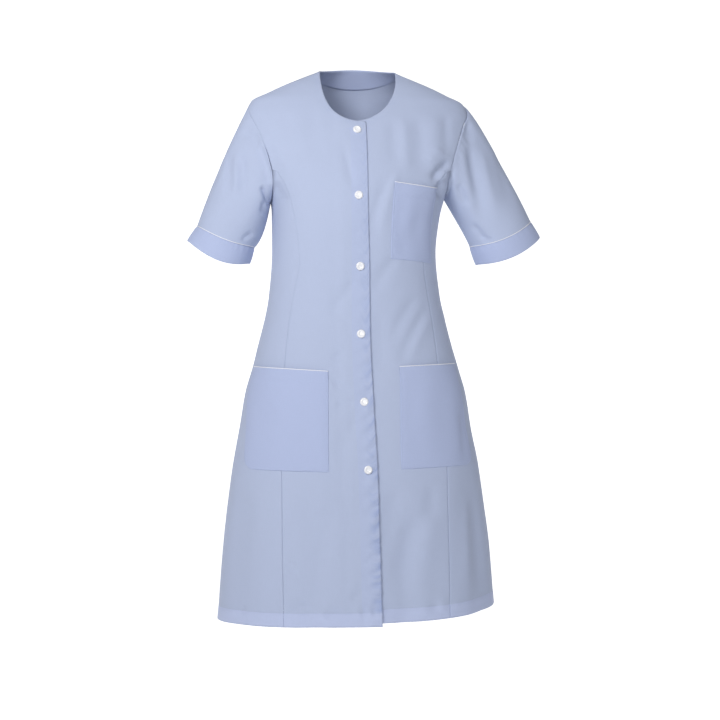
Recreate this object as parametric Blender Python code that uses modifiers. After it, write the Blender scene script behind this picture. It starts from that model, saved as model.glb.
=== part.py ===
"""Short-sleeved work blouse, knee length, standing open and hollow in the shape it has when it is worn.

Metres, +Z up. The front faces -Y and the wearer's left is +X. The origin is the middle of the neck opening,
level with the inner ends of the shoulder seams. Every panel is cut from one body surface, which is a stack
of rounded sections. A place on it is an angle round the body (0 at the front, 90 at the wearer's left side,
180 at the back, -90 at the right side) and a height.
"""

import math

import bmesh
import bpy
import numpy as np
from mathutils import Vector

LEFT = 1
RIGHT = -1
SIDE_NAMES = {LEFT: "left", RIGHT: "right"}

# Cloth and sewing
WALL = 0.0015
CUFF_WALL = 0.0020
FACING_WALL = 0.0012
SEAM_GAP = 0.0003
PATCH_LIFT = 0.0008
PIPING_RADIUS = 0.0009
PIPING_SIDES_RESOLUTION = 1
LONGEST_MITRE = 2.5

# Heights
CENTRE_BACK_NECK = 0.016
NECK_POINT = 0.004
CENTRE_FRONT_NECK = -0.098
SHOULDER_TIP = -0.053
UNDERARM = -0.235
LEFT_UNDERARM_LIFT = 0.013
LEFT_UNDERARM_REACH = (25.0, 0.055)
HIGH_HIP = -0.400
HEM_SWING_START = -0.700
HEM = -0.963
LEVELS = (-0.443, -0.486, -0.529, -0.585, -0.643, -0.702, -0.767, -0.832, -0.897, HEM)

# Half of the neck opening, where the armhole turns in most (an angle and a height), and how soon it does
NECK_HALF_WIDTH = 0.068
FRONT_PITCH = (68.0, -0.184)
BACK_PITCH = (106.0, -0.165)
ARMHOLE_SWEEP = 1.8

# Closing
LAP_REACH = 0.0165
LAP_LIFT = 0.0023
LAP_RISE_START = 0.046
LAP_RISE_END = 0.026
LAP_FLARE_AT_HEM = 0.0025

# How the rows of the back run: their tilt underarm, how soon the first one comes, and over how many rows
# its inner columns come back from the armhole's pitch to an even spacing
BACK_NECK_TILT = 0.35
FIRST_ROW_REACH = 0.93
BACK_SPREAD_ROWS = 7

# Counts of mesh cells
NECK_ROWS = 8
BODY_ROWS = 10
LAP_COLUMNS = 4
FRONT_COLUMNS = 9
SIDE_COLUMNS = 8
BACK_UPPER_ROWS = 5
BACK_LOWER_ROWS = 2
SHOULDER_COLUMNS = 4
BACK_COLUMNS = 24
SLEEVE_ROWS = 9
CUFF_ROWS = 2


class Table:
    """Rows with named columns, read smoothly at any height, without overshoot between the rows."""

    def __init__(self, names, rows):
        rows = np.array(sorted(rows), float)
        self.at = rows[:, 0]
        self.columns = {name: rows[:, k + 1] for k, name in enumerate(names)}
        self.slopes = {name: self.slopes_of(values) for name, values in self.columns.items()}

    def slopes_of(self, values):
        steps = np.diff(self.at)
        rises = np.diff(values) / steps
        slopes = np.zeros(len(values))
        slopes[0] = rises[0]
        slopes[-1] = rises[-1]
        for k in range(1, len(values) - 1):
            before, after = rises[k - 1], rises[k]
            if before * after > 0:
                first = 2 * steps[k] + steps[k - 1]
                second = steps[k] + 2 * steps[k - 1]
                slopes[k] = (first + second) / (first / before + second / after)
        return slopes

    def read(self, name, height):
        values, slopes = self.columns[name], self.slopes[name]
        height = min(max(height, self.at[0]), self.at[-1])
        k = min(int(np.searchsorted(self.at, height, side="right")) - 1, len(self.at) - 2)
        step = self.at[k + 1] - self.at[k]
        t = (height - self.at[k]) / step
        start = values[k] * (1 + 2 * t) * (1 - t) ** 2 + slopes[k] * step * t * (1 - t) ** 2
        end = values[k + 1] * t * t * (3 - 2 * t) - slopes[k + 1] * step * t * t * (1 - t)
        return float(start + end)


BODY = Table(
    ("half_width", "front", "back", "squareness", "shift"),
    (
        (0.018, 0.040, 0.004, 0.046, 2.2, 0.000),
        (0.004, 0.068, 0.010, 0.055, 2.2, 0.000),
        (-0.010, 0.101, 0.022, 0.063, 2.2, 0.000),
        (-0.024, 0.134, 0.034, 0.070, 2.3, 0.000),
        (-0.038, 0.163, 0.044, 0.075, 2.3, 0.000),
        (-0.053, 0.191, 0.053, 0.079, 2.4, 0.001),
        (-0.085, 0.203, 0.071, 0.088, 2.4, 0.001),
        (-0.125, 0.202, 0.089, 0.097, 2.4, 0.002),
        (-0.163, 0.192, 0.102, 0.102, 2.4, 0.002),
        (-0.190, 0.179, 0.109, 0.104, 2.4, 0.002),
        (-0.210, 0.168, 0.113, 0.105, 2.4, 0.002),
        (-0.235, 0.156, 0.116, 0.104, 2.4, 0.001),
        (-0.270, 0.150, 0.118, 0.100, 2.4, -0.003),
        (-0.324, 0.1465, 0.116, 0.092, 2.4, -0.006),
        (-0.400, 0.153, 0.112, 0.092, 2.4, -0.005),
        (-0.443, 0.162, 0.113, 0.098, 2.4, -0.004),
        (-0.486, 0.173, 0.117, 0.106, 2.4, -0.004),
        (-0.529, 0.1845, 0.122, 0.114, 2.4, -0.003),
        (-0.572, 0.197, 0.127, 0.120, 2.4, -0.003),
        (-0.637, 0.208, 0.134, 0.126, 2.3, -0.003),
        (-0.702, 0.2205, 0.141, 0.132, 2.3, -0.002),
        (-0.767, 0.2295, 0.147, 0.138, 2.3, -0.002),
        (-0.853, 0.2395, 0.155, 0.146, 2.3, -0.001),
        (-0.975, 0.249, 0.165, 0.156, 2.3, -0.001),
    ),
)

# Soft troughs of the hanging cloth, deepest at their lower ends: angle and width in degrees
FOLD_COLUMNS = ("angle", "width", "depth", "top", "bottom", "lean")
FOLDS = (
    (30.0, 6.5, 0.0035, -0.720, -0.990, -8.0),
    (64.0, 7.0, 0.0045, -0.640, -0.990, 2.0),
    (-31.0, 7.0, 0.0030, -0.730, -0.990, 3.0),
    (-68.0, 8.0, 0.0040, -0.680, -0.990, 2.0),
    (112.0, 8.0, 0.0050, -0.560, -0.990, 3.0),
    (143.0, 7.0, 0.0045, -0.620, -0.990, 2.0),
    (171.0, 8.0, 0.0055, -0.520, -0.990, 4.0),
    (201.0, 7.0, 0.0045, -0.600, -0.990, -3.0),
    (232.0, 8.0, 0.0050, -0.560, -0.990, -2.0),
    (255.0, 6.0, 0.0035, -0.660, -0.990, 0.0),
    (136.0, 5.5, 0.0030, -0.240, -0.330, 3.0),
    (222.0, 5.5, 0.0030, -0.230, -0.330, -3.0),
)
FOLD_RAMP = 0.45

CENTRE_FRONT = Table(
    ("x",),
    (
        (-0.098, -0.0085),
        (-0.231, -0.0090),
        (-0.370, -0.0060),
        (-0.470, -0.0050),
        (-0.587, -0.0010),
        (-0.702, 0.0044),
        (-0.975, 0.0100),
    ),
)

PRINCESS_SEAM = Table(
    ("middle", "offset"),
    (
        (-0.184, 0.001, 0.1510),
        (-0.208, 0.000, 0.1350),
        (-0.245, 0.000, 0.1225),
        (-0.300, 0.000, 0.1130),
        (-0.346, 0.000, 0.1095),
        (-0.394, -0.001, 0.1172),
        (-0.424, -0.001, 0.1225),
        (-0.470, -0.001, 0.1290),
        (-0.520, -0.001, 0.1340),
        (-0.610, 0.001, 0.1410),
        (-0.710, 0.002, 0.1440),
        (-0.840, 0.003, 0.1440),
        (-0.975, 0.004, 0.1430),
    ),
)

# The line down each front that carries the pockets' inner edges, as its distance from the centre front
POCKET_LINE = Table(
    ("left", "right"),
    (
        (-0.184, 0.0680, 0.0640),
        (-0.208, 0.0630, 0.0620),
        (-0.340, 0.0545, 0.0580),
        (-0.430, 0.0620, 0.0585),
        (-0.530, 0.0650, 0.0590),
        (-0.705, 0.0576, 0.0664),
        (-0.975, 0.0570, 0.0680),
    ),
)

# Where the hip pockets' outer edges fall between the princess seam, 0, and the side seam, 1
POCKET_SIDE_LINE = Table(
    ("left", "right"),
    (
        (-0.400, 0.42, 0.68),
        (-0.490, 0.45, 0.76),
        (-0.530, 0.46, 0.77),
        (-0.650, 0.49, 0.60),
        (-0.702, 0.50, 0.55),
        (-0.800, 0.50, 0.52),
        (-0.975, 0.50, 0.52),
    ),
)
POCKET_SIDE_COLUMN = {LEFT: 4, RIGHT: 5}

HEM_AT_FRONT = {LEFT: -0.9605, RIGHT: -0.966}
HEM_AT_SIDE = {LEFT: -0.946, RIGHT: -0.974}
HEM_SIDE_POWER = 2.5
NECK_SQUARENESS = {LEFT: 2.2, RIGHT: 2.7}

# Rings at the sleeve ends: (x, height) of the outer and inner points, and how far the front and back dip
CUFF_SEAM_RING = {
    LEFT: {"outer": (0.317, -0.263), "inner": (0.206, -0.310), "front_dip": 0.011, "back_dip": -0.004},
    RIGHT: {"outer": (-0.286, -0.277), "inner": (-0.184, -0.314), "front_dip": 0.009, "back_dip": -0.004},
}
CUFF_END_RING = {
    LEFT: {"outer": (0.335, -0.291), "inner": (0.217, -0.343), "front_dip": 0.014, "back_dip": -0.005},
    RIGHT: {"outer": (-0.304, -0.303), "inner": (-0.192, -0.3435), "front_dip": 0.018, "back_dip": -0.005},
}
CUFF_HALF_DEPTH = 0.050
CUFF_SEAM_ROOM = 0.0013
ARMHOLE_TURN = 0.35
CUFF_TURN = 0.4

# How far the sleeves bow out along their outer and inner sides, and how soon after the armhole
SLEEVE_BOW = {
    LEFT: {"outer": 0.007, "inner": 0.0, "pace": 0.55},
    RIGHT: {"outer": 0.007, "inner": 0.006, "pace": 1.2},
}

# Troughs along the sleeves: angle round the ring from the outer side over the front, in degrees
SLEEVE_FOLD_COLUMNS = ("side", "angle", "width", "depth", "start", "end")
SLEEVE_FOLDS = (
    (LEFT, 104.0, 12.0, 0.0045, 0.05, 0.90),
    (LEFT, 236.0, 14.0, 0.0040, 0.10, 0.85),
    (RIGHT, 70.0, 14.0, 0.0030, 0.20, 0.75),
    (RIGHT, 128.0, 12.0, 0.0035, 0.05, 0.60),
    (RIGHT, 250.0, 14.0, 0.0040, 0.10, 0.85),
)

# Pockets
HIP_POCKET = {
    LEFT: {"top": (-0.527, -0.522), "bottom": (-0.702, -0.699)},
    RIGHT: {"top": (-0.535, -0.527), "bottom": (-0.706, -0.704)},
}
HIP_POCKET_CORNER = 0.022
HIP_POCKET_ROWS = 5
HIP_CORNER_STEPS = 4
CHEST_POCKET = {"top": (-0.208, -0.2165), "bottom": (-0.340, -0.345)}
CHEST_POCKET_ROWS = 5

# How far the chest pocket reaches over the princess seam, as a share of the way to the side seam
CHEST_SIDE_LINE = Table(("share",), ((-0.208, 0.05), (-0.270, 0.15), (-0.345, 0.27)))
CHEST_SIDE_COLUMNS = 1
MOUTH_GAPE = 0.0020
MOUTH_GAPE_REACH = 0.035

# Back-neck facing, and the shares of the back's first row of cells where it starts and ends
FACING_LIFT = 0.0006
FACING_REACH = (0.03, 1.0)

# Snaps
SNAP_HEIGHTS = (-0.1144, -0.2315, -0.3534, -0.4702, -0.5869, -0.7025)
SNAP_RADIUS = 0.0074
SNAP_HEIGHT = 0.0026
SNAP_LIFT = 0.0006
SNAP_STEPS = 16
SNAP_PROFILE = (
    # share of the radius, share of the height, from the crown down to the middle of the base
    (0.00, 0.86),
    (0.38, 0.88),
    (0.62, 1.00),
    (0.90, 0.72),
    (1.00, 0.30),
    (0.96, 0.00),
    (0.00, 0.00),
)

# Colour and roughness
FINISHES = {
    "body": ((0.44, 0.51, 0.70), 0.85),
    "double": ((0.40, 0.48, 0.72), 0.85),
    "piping": ((0.86, 0.88, 0.94), 0.70),
    "snap": ((0.90, 0.91, 0.94), 0.25),
}


def ease(t):
    """0 below 0, 1 above 1, and a smooth rise between."""
    t = min(max(t, 0.0), 1.0)
    return t * t * (3 - 2 * t)


def mix(first, second, t):
    return first + (second - first) * t


def unit(vector):
    return vector / max(np.linalg.norm(vector), 1e-12)


def fold_depth(angle, height):
    """How far the cloth sinks in at this place on the body."""
    depth = 0.0
    for row in FOLDS:
        fold = dict(zip(FOLD_COLUMNS, row))
        t = (fold["top"] - height) / (fold["top"] - fold["bottom"])
        if not 0 < t < 1:
            continue
        away = (angle - fold["angle"] - fold["lean"] * t + 180) % 360 - 180
        reach = ease(t / FOLD_RAMP)
        if fold["bottom"] > HEM:
            reach *= ease((1 - t) / FOLD_RAMP)
        depth += fold["depth"] * reach * math.exp(-((away / fold["width"]) ** 2))
    return depth


def underarm_lift(angle, height):
    """The left armhole sits a little higher than the right one, and the cloth round it with it."""
    around, along = LEFT_UNDERARM_REACH
    away = ((angle - 90) / around) ** 2 + ((height - UNDERARM) / along) ** 2
    return LEFT_UNDERARM_LIFT * math.exp(-away)


def body_point(angle, height):
    front_side = math.cos(math.radians(angle))
    across = math.sin(math.radians(angle))
    depth = BODY.read("front" if front_side > 0 else "back", height)
    power = BODY.read("squareness", height)
    half_width = BODY.read("half_width", height)
    radius = (abs(across / half_width) ** power + abs(front_side / depth) ** power) ** (-1 / power)
    radius -= fold_depth(angle, height)
    lifted = height + underarm_lift(angle, height)
    return np.array([BODY.read("shift", height) + radius * across, -radius * front_side, lifted])


def body_normal(angle, height):
    """The outward direction of the cloth."""
    turn, drop = 0.4, 0.0008
    around = body_point(angle + turn, height) - body_point(angle - turn, height)
    up = body_point(angle, height + drop) - body_point(angle, height - drop)
    return unit(np.cross(around, up))


def angle_at(x, height, front=True):
    """The angle of the place on the front or back of the body with this x."""
    half_width = BODY.read("half_width", height)
    power = BODY.read("squareness", height)
    local = min(max((x - BODY.read("shift", height)) / half_width, -1.0), 1.0)
    depth = BODY.read("front" if front else "back", height)
    y = depth * (1 - abs(local) ** power) ** (1 / power)
    angle = math.degrees(math.atan2(local * half_width, y))
    return angle if front else 180 - angle


def ridge_height(x):
    """The height of the shoulder line at a distance from the middle."""
    low, high = SHOULDER_TIP, CENTRE_BACK_NECK
    for _ in range(40):
        middle = (low + high) / 2
        if BODY.read("half_width", middle) > abs(x):
            low = middle
        else:
            high = middle
    return low


def hem_drop(angle, height, side):
    """How far the level moves so that the last row follows the hem, which hangs a little unevenly."""
    if abs(angle) <= 90:
        hem = mix(HEM_AT_FRONT[side], HEM_AT_SIDE[side], (abs(angle) / 90) ** HEM_SIDE_POWER)
    else:
        hem = mix(HEM_AT_SIDE[LEFT], HEM_AT_SIDE[RIGHT], (angle - 90) / 180)
    return (hem - HEM) * ease((HEM_SWING_START - height) / (HEM_SWING_START - HEM))


def armhole(front, t):
    """(angle, height) on the left armhole: t is 0 at the shoulder tip, 1 at the pitch and 2 underarm."""
    pitch_angle, pitch_height = FRONT_PITCH if front else BACK_PITCH
    if t <= 1:
        return (
            pitch_angle + (90 - pitch_angle) * (1 - t) ** ARMHOLE_SWEEP,
            mix(SHOULDER_TIP, pitch_height, t),
        )
    turn = (t - 1) * math.pi / 2
    return (
        90 + (pitch_angle - 90) * math.cos(turn),
        mix(pitch_height, UNDERARM, math.sin(turn)),
    )


def neckline(side, t):
    """(x, height) on the front neckline: t is 0 at the shoulder and 1 at the closing edge."""
    end = CENTRE_FRONT.read("x", CENTRE_FRONT_NECK) - side * LAP_REACH
    power = 2 / NECK_SQUARENESS[side]
    turn = t * math.pi / 2
    x = mix(end, side * NECK_HALF_WIDTH, max(math.cos(turn), 0.0) ** power)
    return x, mix(NECK_POINT, CENTRE_FRONT_NECK, math.sin(turn) ** power)


def closing_edge(side, height):
    return CENTRE_FRONT.read("x", height) - side * LAP_REACH


def seam_x(side, height):
    return PRINCESS_SEAM.read("middle", height) + side * PRINCESS_SEAM.read("offset", height)


def row_height(start, row):
    """Heights between the end of the armhole rows and the high hip, then the shared levels."""
    if row <= BODY_ROWS:
        return mix(start, HIGH_HIP, row / BODY_ROWS)
    return LEVELS[row - BODY_ROWS - 1]


def front_share(side, height, edge, seam, column):
    """How far a column of a front lies from its closing edge to its seam. One column is the pocket line."""
    line = CENTRE_FRONT.read("x", height) + side * POCKET_LINE.read(SIDE_NAMES[side], height)
    at_line = (line - edge) / (seam - edge)
    if column <= LAP_COLUMNS:
        return at_line * column / LAP_COLUMNS
    return mix(at_line, 1.0, (column - LAP_COLUMNS) / (FRONT_COLUMNS - LAP_COLUMNS))


def side_share(side, height, column):
    """The same for a side front, from the princess seam to the side seam."""
    line = POCKET_SIDE_COLUMN[side]
    at_line = POCKET_SIDE_LINE.read(SIDE_NAMES[side], height)
    if column <= line:
        return at_line * column / line
    return mix(at_line, 1.0, (column - line) / (SIDE_COLUMNS - line))


def front_places(side):
    """(angle, height) for each row and column of a front."""
    rows = []
    for row in range(NECK_ROWS + BODY_ROWS + len(LEVELS) + 1):
        if row <= NECK_ROWS:
            inner = neckline(side, row / NECK_ROWS)
            angle, height = armhole(True, row / NECK_ROWS)
            outer = (body_point(side * angle, height)[0], height)
        else:
            inner_height = row_height(CENTRE_FRONT_NECK, row - NECK_ROWS)
            outer_height = row_height(FRONT_PITCH[1], row - NECK_ROWS)
            inner = (closing_edge(side, inner_height), inner_height)
            outer = (seam_x(side, outer_height), outer_height)
        places = []
        for column in range(FRONT_COLUMNS + 1):
            share = front_share(side, (inner[1] + outer[1]) / 2, inner[0], outer[0], column)
            x = mix(inner[0], outer[0], share)
            height = mix(inner[1], outer[1], share)
            if row == 0:
                places.append((side * 90.0, ridge_height(x)))
                continue
            angle = angle_at(x, height)
            places.append((angle, height + hem_drop(angle, height, side)))
        if row <= NECK_ROWS:
            angle, height = armhole(True, row / NECK_ROWS)
            places[-1] = (side * angle, height)
        rows.append(places)
    return rows


def side_places(side):
    """(angle, height) for each row and column of a side front, whose top edge is the lower armhole."""
    rows = []
    for row in range(BODY_ROWS + len(LEVELS) + 1):
        seam_height = row_height(FRONT_PITCH[1], row)
        side_height = row_height(UNDERARM, row)
        seam_angle = side * FRONT_PITCH[0]
        if row > 0:
            seam_angle = angle_at(seam_x(side, seam_height), seam_height)
        level = ease(row / BODY_ROWS)
        places = []
        for column in range(SIDE_COLUMNS + 1):
            turn = column / SIDE_COLUMNS * math.pi / 2
            share = side_share(side, (seam_height + side_height) / 2, column)
            along = mix(1 - math.cos(turn), share, level)
            down = mix(math.sin(turn), share, level)
            angle = mix(seam_angle, side * 90.0, along)
            height = mix(seam_height, side_height, down)
            places.append((angle, height + hem_drop(angle, height, side)))
        rows.append(places)
    return rows


def back_top(share):
    """(angle, height) on the back's top edge: 0 is the left shoulder tip, 1 the centre back."""
    shoulder_end = 2 * SHOULDER_COLUMNS / BACK_COLUMNS
    tip_x = BODY.read("half_width", SHOULDER_TIP)
    if share <= shoulder_end:
        return 90.0, ridge_height(mix(tip_x, NECK_HALF_WIDTH, share / shoulder_end))
    along = (share - shoulder_end) / (1 - shoulder_end)
    rise = (CENTRE_BACK_NECK - NECK_POINT) * math.sin(along * math.pi / 2)
    return mix(90.0, 180.0, along), NECK_POINT + rise


def back_places():
    """(angle, height) for each row and column of the back, from the left side seam to the right one."""
    armhole_rows = BACK_UPPER_ROWS + BACK_LOWER_ROWS
    rise = CENTRE_BACK_NECK - SHOULDER_TIP
    centre_at_underarm = UNDERARM + BACK_NECK_TILT * rise
    tip_x = BODY.read("half_width", SHOULDER_TIP)
    rows = []
    for row in range(armhole_rows + BODY_ROWS + len(LEVELS) + 1):
        outer_angle = 90.0
        if row <= BACK_UPPER_ROWS:
            outer_angle, outer_height = armhole(False, row / BACK_UPPER_ROWS)
        elif row <= armhole_rows:
            outer_angle, outer_height = armhole(False, 1 + (row - BACK_UPPER_ROWS) / BACK_LOWER_ROWS)
        else:
            outer_height = row_height(UNDERARM, row - armhole_rows)
        down = min(row / armhole_rows, 1.0)
        centre_height = mix(CENTRE_BACK_NECK, centre_at_underarm, down**FIRST_ROW_REACH)
        if row > armhole_rows:
            centre_height = row_height(centre_at_underarm, row - armhole_rows)
        outer_x = body_point(outer_angle, outer_height)[0] - BODY.read("shift", outer_height)
        below_pitch = ease((row - BACK_UPPER_ROWS) / BACK_SPREAD_ROWS)
        spread_angle = mix(BACK_PITCH[0], 90.0, below_pitch) if row > BACK_UPPER_ROWS else 90.0
        places = []
        for column in range(BACK_COLUMNS + 1):
            share = 1 - abs(1 - 2 * column / BACK_COLUMNS)
            top_angle, top_height = back_top(share)
            height = mix(outer_height, centre_height, (top_height - SHOULDER_TIP) / rise)
            top_x = body_point(top_angle, top_height)[0] - BODY.read("shift", top_height)
            x = BODY.read("shift", height) + outer_x * top_x / tip_x
            by_turn = mix(max(outer_angle, spread_angle), 180.0, share)
            angle = mix(angle_at(x, height, front=False), by_turn, down)
            if row == 0:
                angle, height = top_angle, top_height
            if column in (0, BACK_COLUMNS):
                angle, height = outer_angle, outer_height
            if column > BACK_COLUMNS / 2:
                angle = 360 - angle
            places.append((angle, height + hem_drop(angle, height, LEFT)))
        rows.append(places)
    return rows


def lap_lift(x, height):
    """How far the lapping front stands off the body, so that it clears the front under it."""
    centre = CENTRE_FRONT.read("x", height)
    rise = LAP_LIFT * ease((x - centre + LAP_RISE_START) / (LAP_RISE_START - LAP_RISE_END))
    flare = LAP_FLARE_AT_HEM * ease((CENTRE_FRONT_NECK - height) / (CENTRE_FRONT_NECK - HEM))
    return rise + flare * ease((x - centre + LAP_REACH) / (2 * LAP_REACH))


def on_body(angle, height):
    """Every panel but the lapping front lies on the body surface."""
    return 0.0


def on_lap(angle, height):
    return lap_lift(body_point(angle, height)[0], height)


def wall_grids(places, lift=on_body):
    """Outer and inner points of a wall over these places."""
    outer, inner = [], []
    for row in places:
        points = [body_point(*place) for place in row]
        normals = [body_normal(*place) for place in row]
        lifts = [lift(*place) for place in row]
        outer.append([p + n * up for p, n, up in zip(points, normals, lifts)])
        inner.append([p + n * (up - WALL) for p, n, up in zip(points, normals, lifts)])
    return np.array(outer), np.array(inner)


def step_back(grids, edge, neighbour):
    """Moves an edge half a seam gap towards the row or column beside it. Both are index pairs."""
    for grid in grids:
        towards = grid[neighbour] - grid[edge]
        lengths = np.linalg.norm(towards, axis=-1, keepdims=True)
        grid[edge] = grid[edge] + towards / lengths * SEAM_GAP / 2


class Armhole:
    """The seam between body and sleeve: its points, shared inner corners and the direction across it."""

    def __init__(self, side):
        self.side = side
        front = [armhole(True, k / NECK_ROWS) for k in range(NECK_ROWS + 1)]
        front += [armhole(True, 1 + k / SIDE_COLUMNS) for k in range(1, SIDE_COLUMNS + 1)]
        back = [armhole(False, 2 - k / BACK_LOWER_ROWS) for k in range(1, BACK_LOWER_ROWS + 1)]
        back += [armhole(False, 1 - k / BACK_UPPER_ROWS) for k in range(1, BACK_UPPER_ROWS)]
        places = [(side * angle, height) for angle, height in front + back]
        self.points = np.array([body_point(*place) for place in places])
        self.underarm = len(front) - 1
        body_normals = np.array([body_normal(*place) for place in places])
        self.turns = self.ring_turns()
        self.seam_ring = cuff_ring(side, CUFF_SEAM_RING, self.turns)
        self.end_ring = cuff_ring(side, CUFF_END_RING, self.turns)
        tangents = np.roll(self.points, -1, axis=0) - np.roll(self.points, 1, axis=0)
        tangents = np.array([unit(tangent) for tangent in tangents])
        away = np.cross(body_normals, tangents) * side
        self.starts = []
        self.corners = []
        self.across = []
        for k, point in enumerate(self.points):
            reach = self.seam_ring[k] - point
            turn = ARMHOLE_TURN * abs(math.sin(self.turns[k]))
            start = unit(mix(unit(reach), away[k], turn))
            sleeve_normal = unit(np.cross(tangents[k], start)) * side
            shared = unit(body_normals[k] + sleeve_normal)
            mitre = min(1 / max(shared @ body_normals[k], 0.1), LONGEST_MITRE)
            across = unit(np.cross(shared, tangents[k])) * side
            self.starts.append(start * np.linalg.norm(reach))
            self.corners.append(point - shared * WALL * mitre)
            self.across.append(across)
        self.corners = np.array(self.corners)
        self.across = np.array(self.across)
        self.starts = np.array(self.starts)

    def ring_turns(self):
        """The angle round the sleeve of each point, by distance: 0 at the shoulder tip, pi underarm."""
        closed = np.vstack([self.points, self.points[:1]])
        steps = np.linalg.norm(np.diff(closed, axis=0), axis=1)
        front = np.cumsum(steps[: self.underarm])
        back = np.cumsum(steps[self.underarm :])
        turns = np.concatenate([[0.0], front / front[-1] * math.pi, math.pi * (1 + back[:-1] / back[-1])])
        return turns

    def body_edge(self, indices):
        """Outer and inner points where panels stop at the seam."""
        shift = self.across[indices] * SEAM_GAP / 2
        return self.points[indices] - shift, self.corners[indices] - shift


def cuff_ring(side, table, turns):
    """Points of a sleeve ring at these angles, 0 at its outer side and pi at its inner side."""
    ring = table[side]
    outer = np.array([ring["outer"][0], 0.0, ring["outer"][1]])
    inner = np.array([ring["inner"][0], 0.0, ring["inner"][1]])
    points = []
    for turn in turns:
        over_front = math.sin(turn)
        dip = ring["front_dip"] if over_front > 0 else ring["back_dip"]
        point = (outer + inner) / 2 + (outer - inner) / 2 * math.cos(turn)
        point = point + np.array([0.0, -CUFF_HALF_DEPTH * over_front, -dip * over_front**2])
        points.append(point)
    return np.array(points)


def ring_normals(grid, side):
    """Outward directions of a tube of rings, rows along it and columns round it."""
    around = np.roll(grid, -1, axis=1) - np.roll(grid, 1, axis=1)
    along = np.gradient(grid, axis=0)
    normals = np.cross(around, along) * side
    return normals / np.linalg.norm(normals, axis=-1, keepdims=True)


def sleeve_fold_depth(side, turn, along):
    depth = 0.0
    for row in SLEEVE_FOLDS:
        fold = dict(zip(SLEEVE_FOLD_COLUMNS, row))
        if fold["side"] != side or not fold["start"] < along < fold["end"]:
            continue
        t = (along - fold["start"]) / (fold["end"] - fold["start"])
        away = (math.degrees(turn) - fold["angle"]) / fold["width"]
        depth += fold["depth"] * math.sin(math.pi * t) * math.exp(-(away**2))
    return depth


def sleeve_bow(side, turn, along):
    """How far a sleeve stands out along its outer and inner sides, where it isn't a straight tube."""
    bow = SLEEVE_BOW[side]
    way_round = math.cos(turn)
    reach = bow["outer"] if way_round > 0 else bow["inner"]
    return reach * way_round**2 * math.sin(math.pi * along ** bow["pace"])


def sleeve_grids(hole):
    """Outer and inner points of a sleeve, from the armhole to the cuff seam."""
    finish = hole.end_ring - hole.seam_ring
    finish = finish / np.linalg.norm(finish, axis=1, keepdims=True)
    lengths = np.linalg.norm(hole.seam_ring - hole.points, axis=1, keepdims=True)
    last = hole.seam_ring - finish * CUFF_SEAM_ROOM
    rows = []
    for row in range(SLEEVE_ROWS + 1):
        t = row / SLEEVE_ROWS
        rows.append(
            hole.points * (1 + 2 * t) * (1 - t) ** 2
            + hole.starts * t * (1 - t) ** 2
            + last * t * t * (3 - 2 * t)
            - finish * lengths * CUFF_TURN * t * t * (1 - t)
        )
    outer = np.array(rows)
    normals = ring_normals(outer, hole.side)
    for row in range(1, SLEEVE_ROWS):
        for column, turn in enumerate(hole.turns):
            along = row / SLEEVE_ROWS
            out = sleeve_bow(hole.side, turn, along) - sleeve_fold_depth(hole.side, turn, along)
            outer[row, column] += normals[row, column] * out
    normals = ring_normals(outer, hole.side)
    inner = outer - normals * WALL
    inner[0] = hole.corners + hole.across * SEAM_GAP / 2
    outer[0] = hole.points + hole.across * SEAM_GAP / 2
    return outer, inner


def cuff_grids(hole):
    """Outer and inner points of a cuff band, from its seam to its edge."""
    finish = hole.end_ring - hole.seam_ring
    first = hole.seam_ring + finish / np.linalg.norm(finish, axis=1, keepdims=True) * CUFF_SEAM_ROOM
    outer = np.array([mix(first, hole.end_ring, row / CUFF_ROWS) for row in range(CUFF_ROWS + 1)])
    return outer, outer - ring_normals(outer, hole.side) * CUFF_WALL


def material(name, finish):
    colour, roughness = FINISHES[finish]
    made = bpy.data.materials.new(name)
    made.use_nodes = True
    shader = made.node_tree.nodes["Principled BSDF"]
    shader.inputs["Base Color"].default_value = (*colour, 1.0)
    shader.inputs["Roughness"].default_value = roughness
    shader.inputs["Metallic"].default_value = 0.0
    return made


def place_object(name, mesh, finish, collection):
    made = bpy.data.objects.new(name, mesh)
    mesh.materials.append(material(name + "_finish", finish))
    collection.objects.link(made)
    return made


def add_wall(name, grids, finish, collection, closed=False):
    """A cloth wall between two grids of points. A closed wall's last column joins its first."""
    shape = bmesh.new()
    outer, inner = [[[shape.verts.new(point) for point in row] for row in grid] for grid in grids]
    rows, columns = len(outer), len(outer[0])
    steps = columns if closed else columns - 1
    for i in range(steps):
        k = (i + 1) % columns
        for j in range(rows - 1):
            for face in (outer, inner):
                shape.faces.new((face[j][i], face[j + 1][i], face[j + 1][k], face[j][k]))
        for j in (0, rows - 1):
            shape.faces.new((outer[j][i], outer[j][k], inner[j][k], inner[j][i]))
    if not closed:
        for j in range(rows - 1):
            for i in (0, columns - 1):
                shape.faces.new((outer[j][i], outer[j + 1][i], inner[j + 1][i], inner[j][i]))
    bmesh.ops.recalc_face_normals(shape, faces=shape.faces)
    mesh = bpy.data.meshes.new(name)
    shape.to_mesh(mesh)
    shape.free()
    mesh.shade_smooth()
    return place_object(name, mesh, finish, collection)


def add_piping(name, points, collection, closed=False):
    """A piping cord through these points."""
    line = bpy.data.curves.new(name, "CURVE")
    line.dimensions = "3D"
    line.bevel_depth = PIPING_RADIUS
    line.bevel_resolution = PIPING_SIDES_RESOLUTION
    line.use_fill_caps = True
    spline = line.splines.new("POLY")
    spline.points.add(len(points) - 1)
    for target, point in zip(spline.points, points):
        target.co = (*point, 1.0)
    spline.use_cyclic_u = closed
    return place_object(name, line, "piping", collection)


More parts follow.
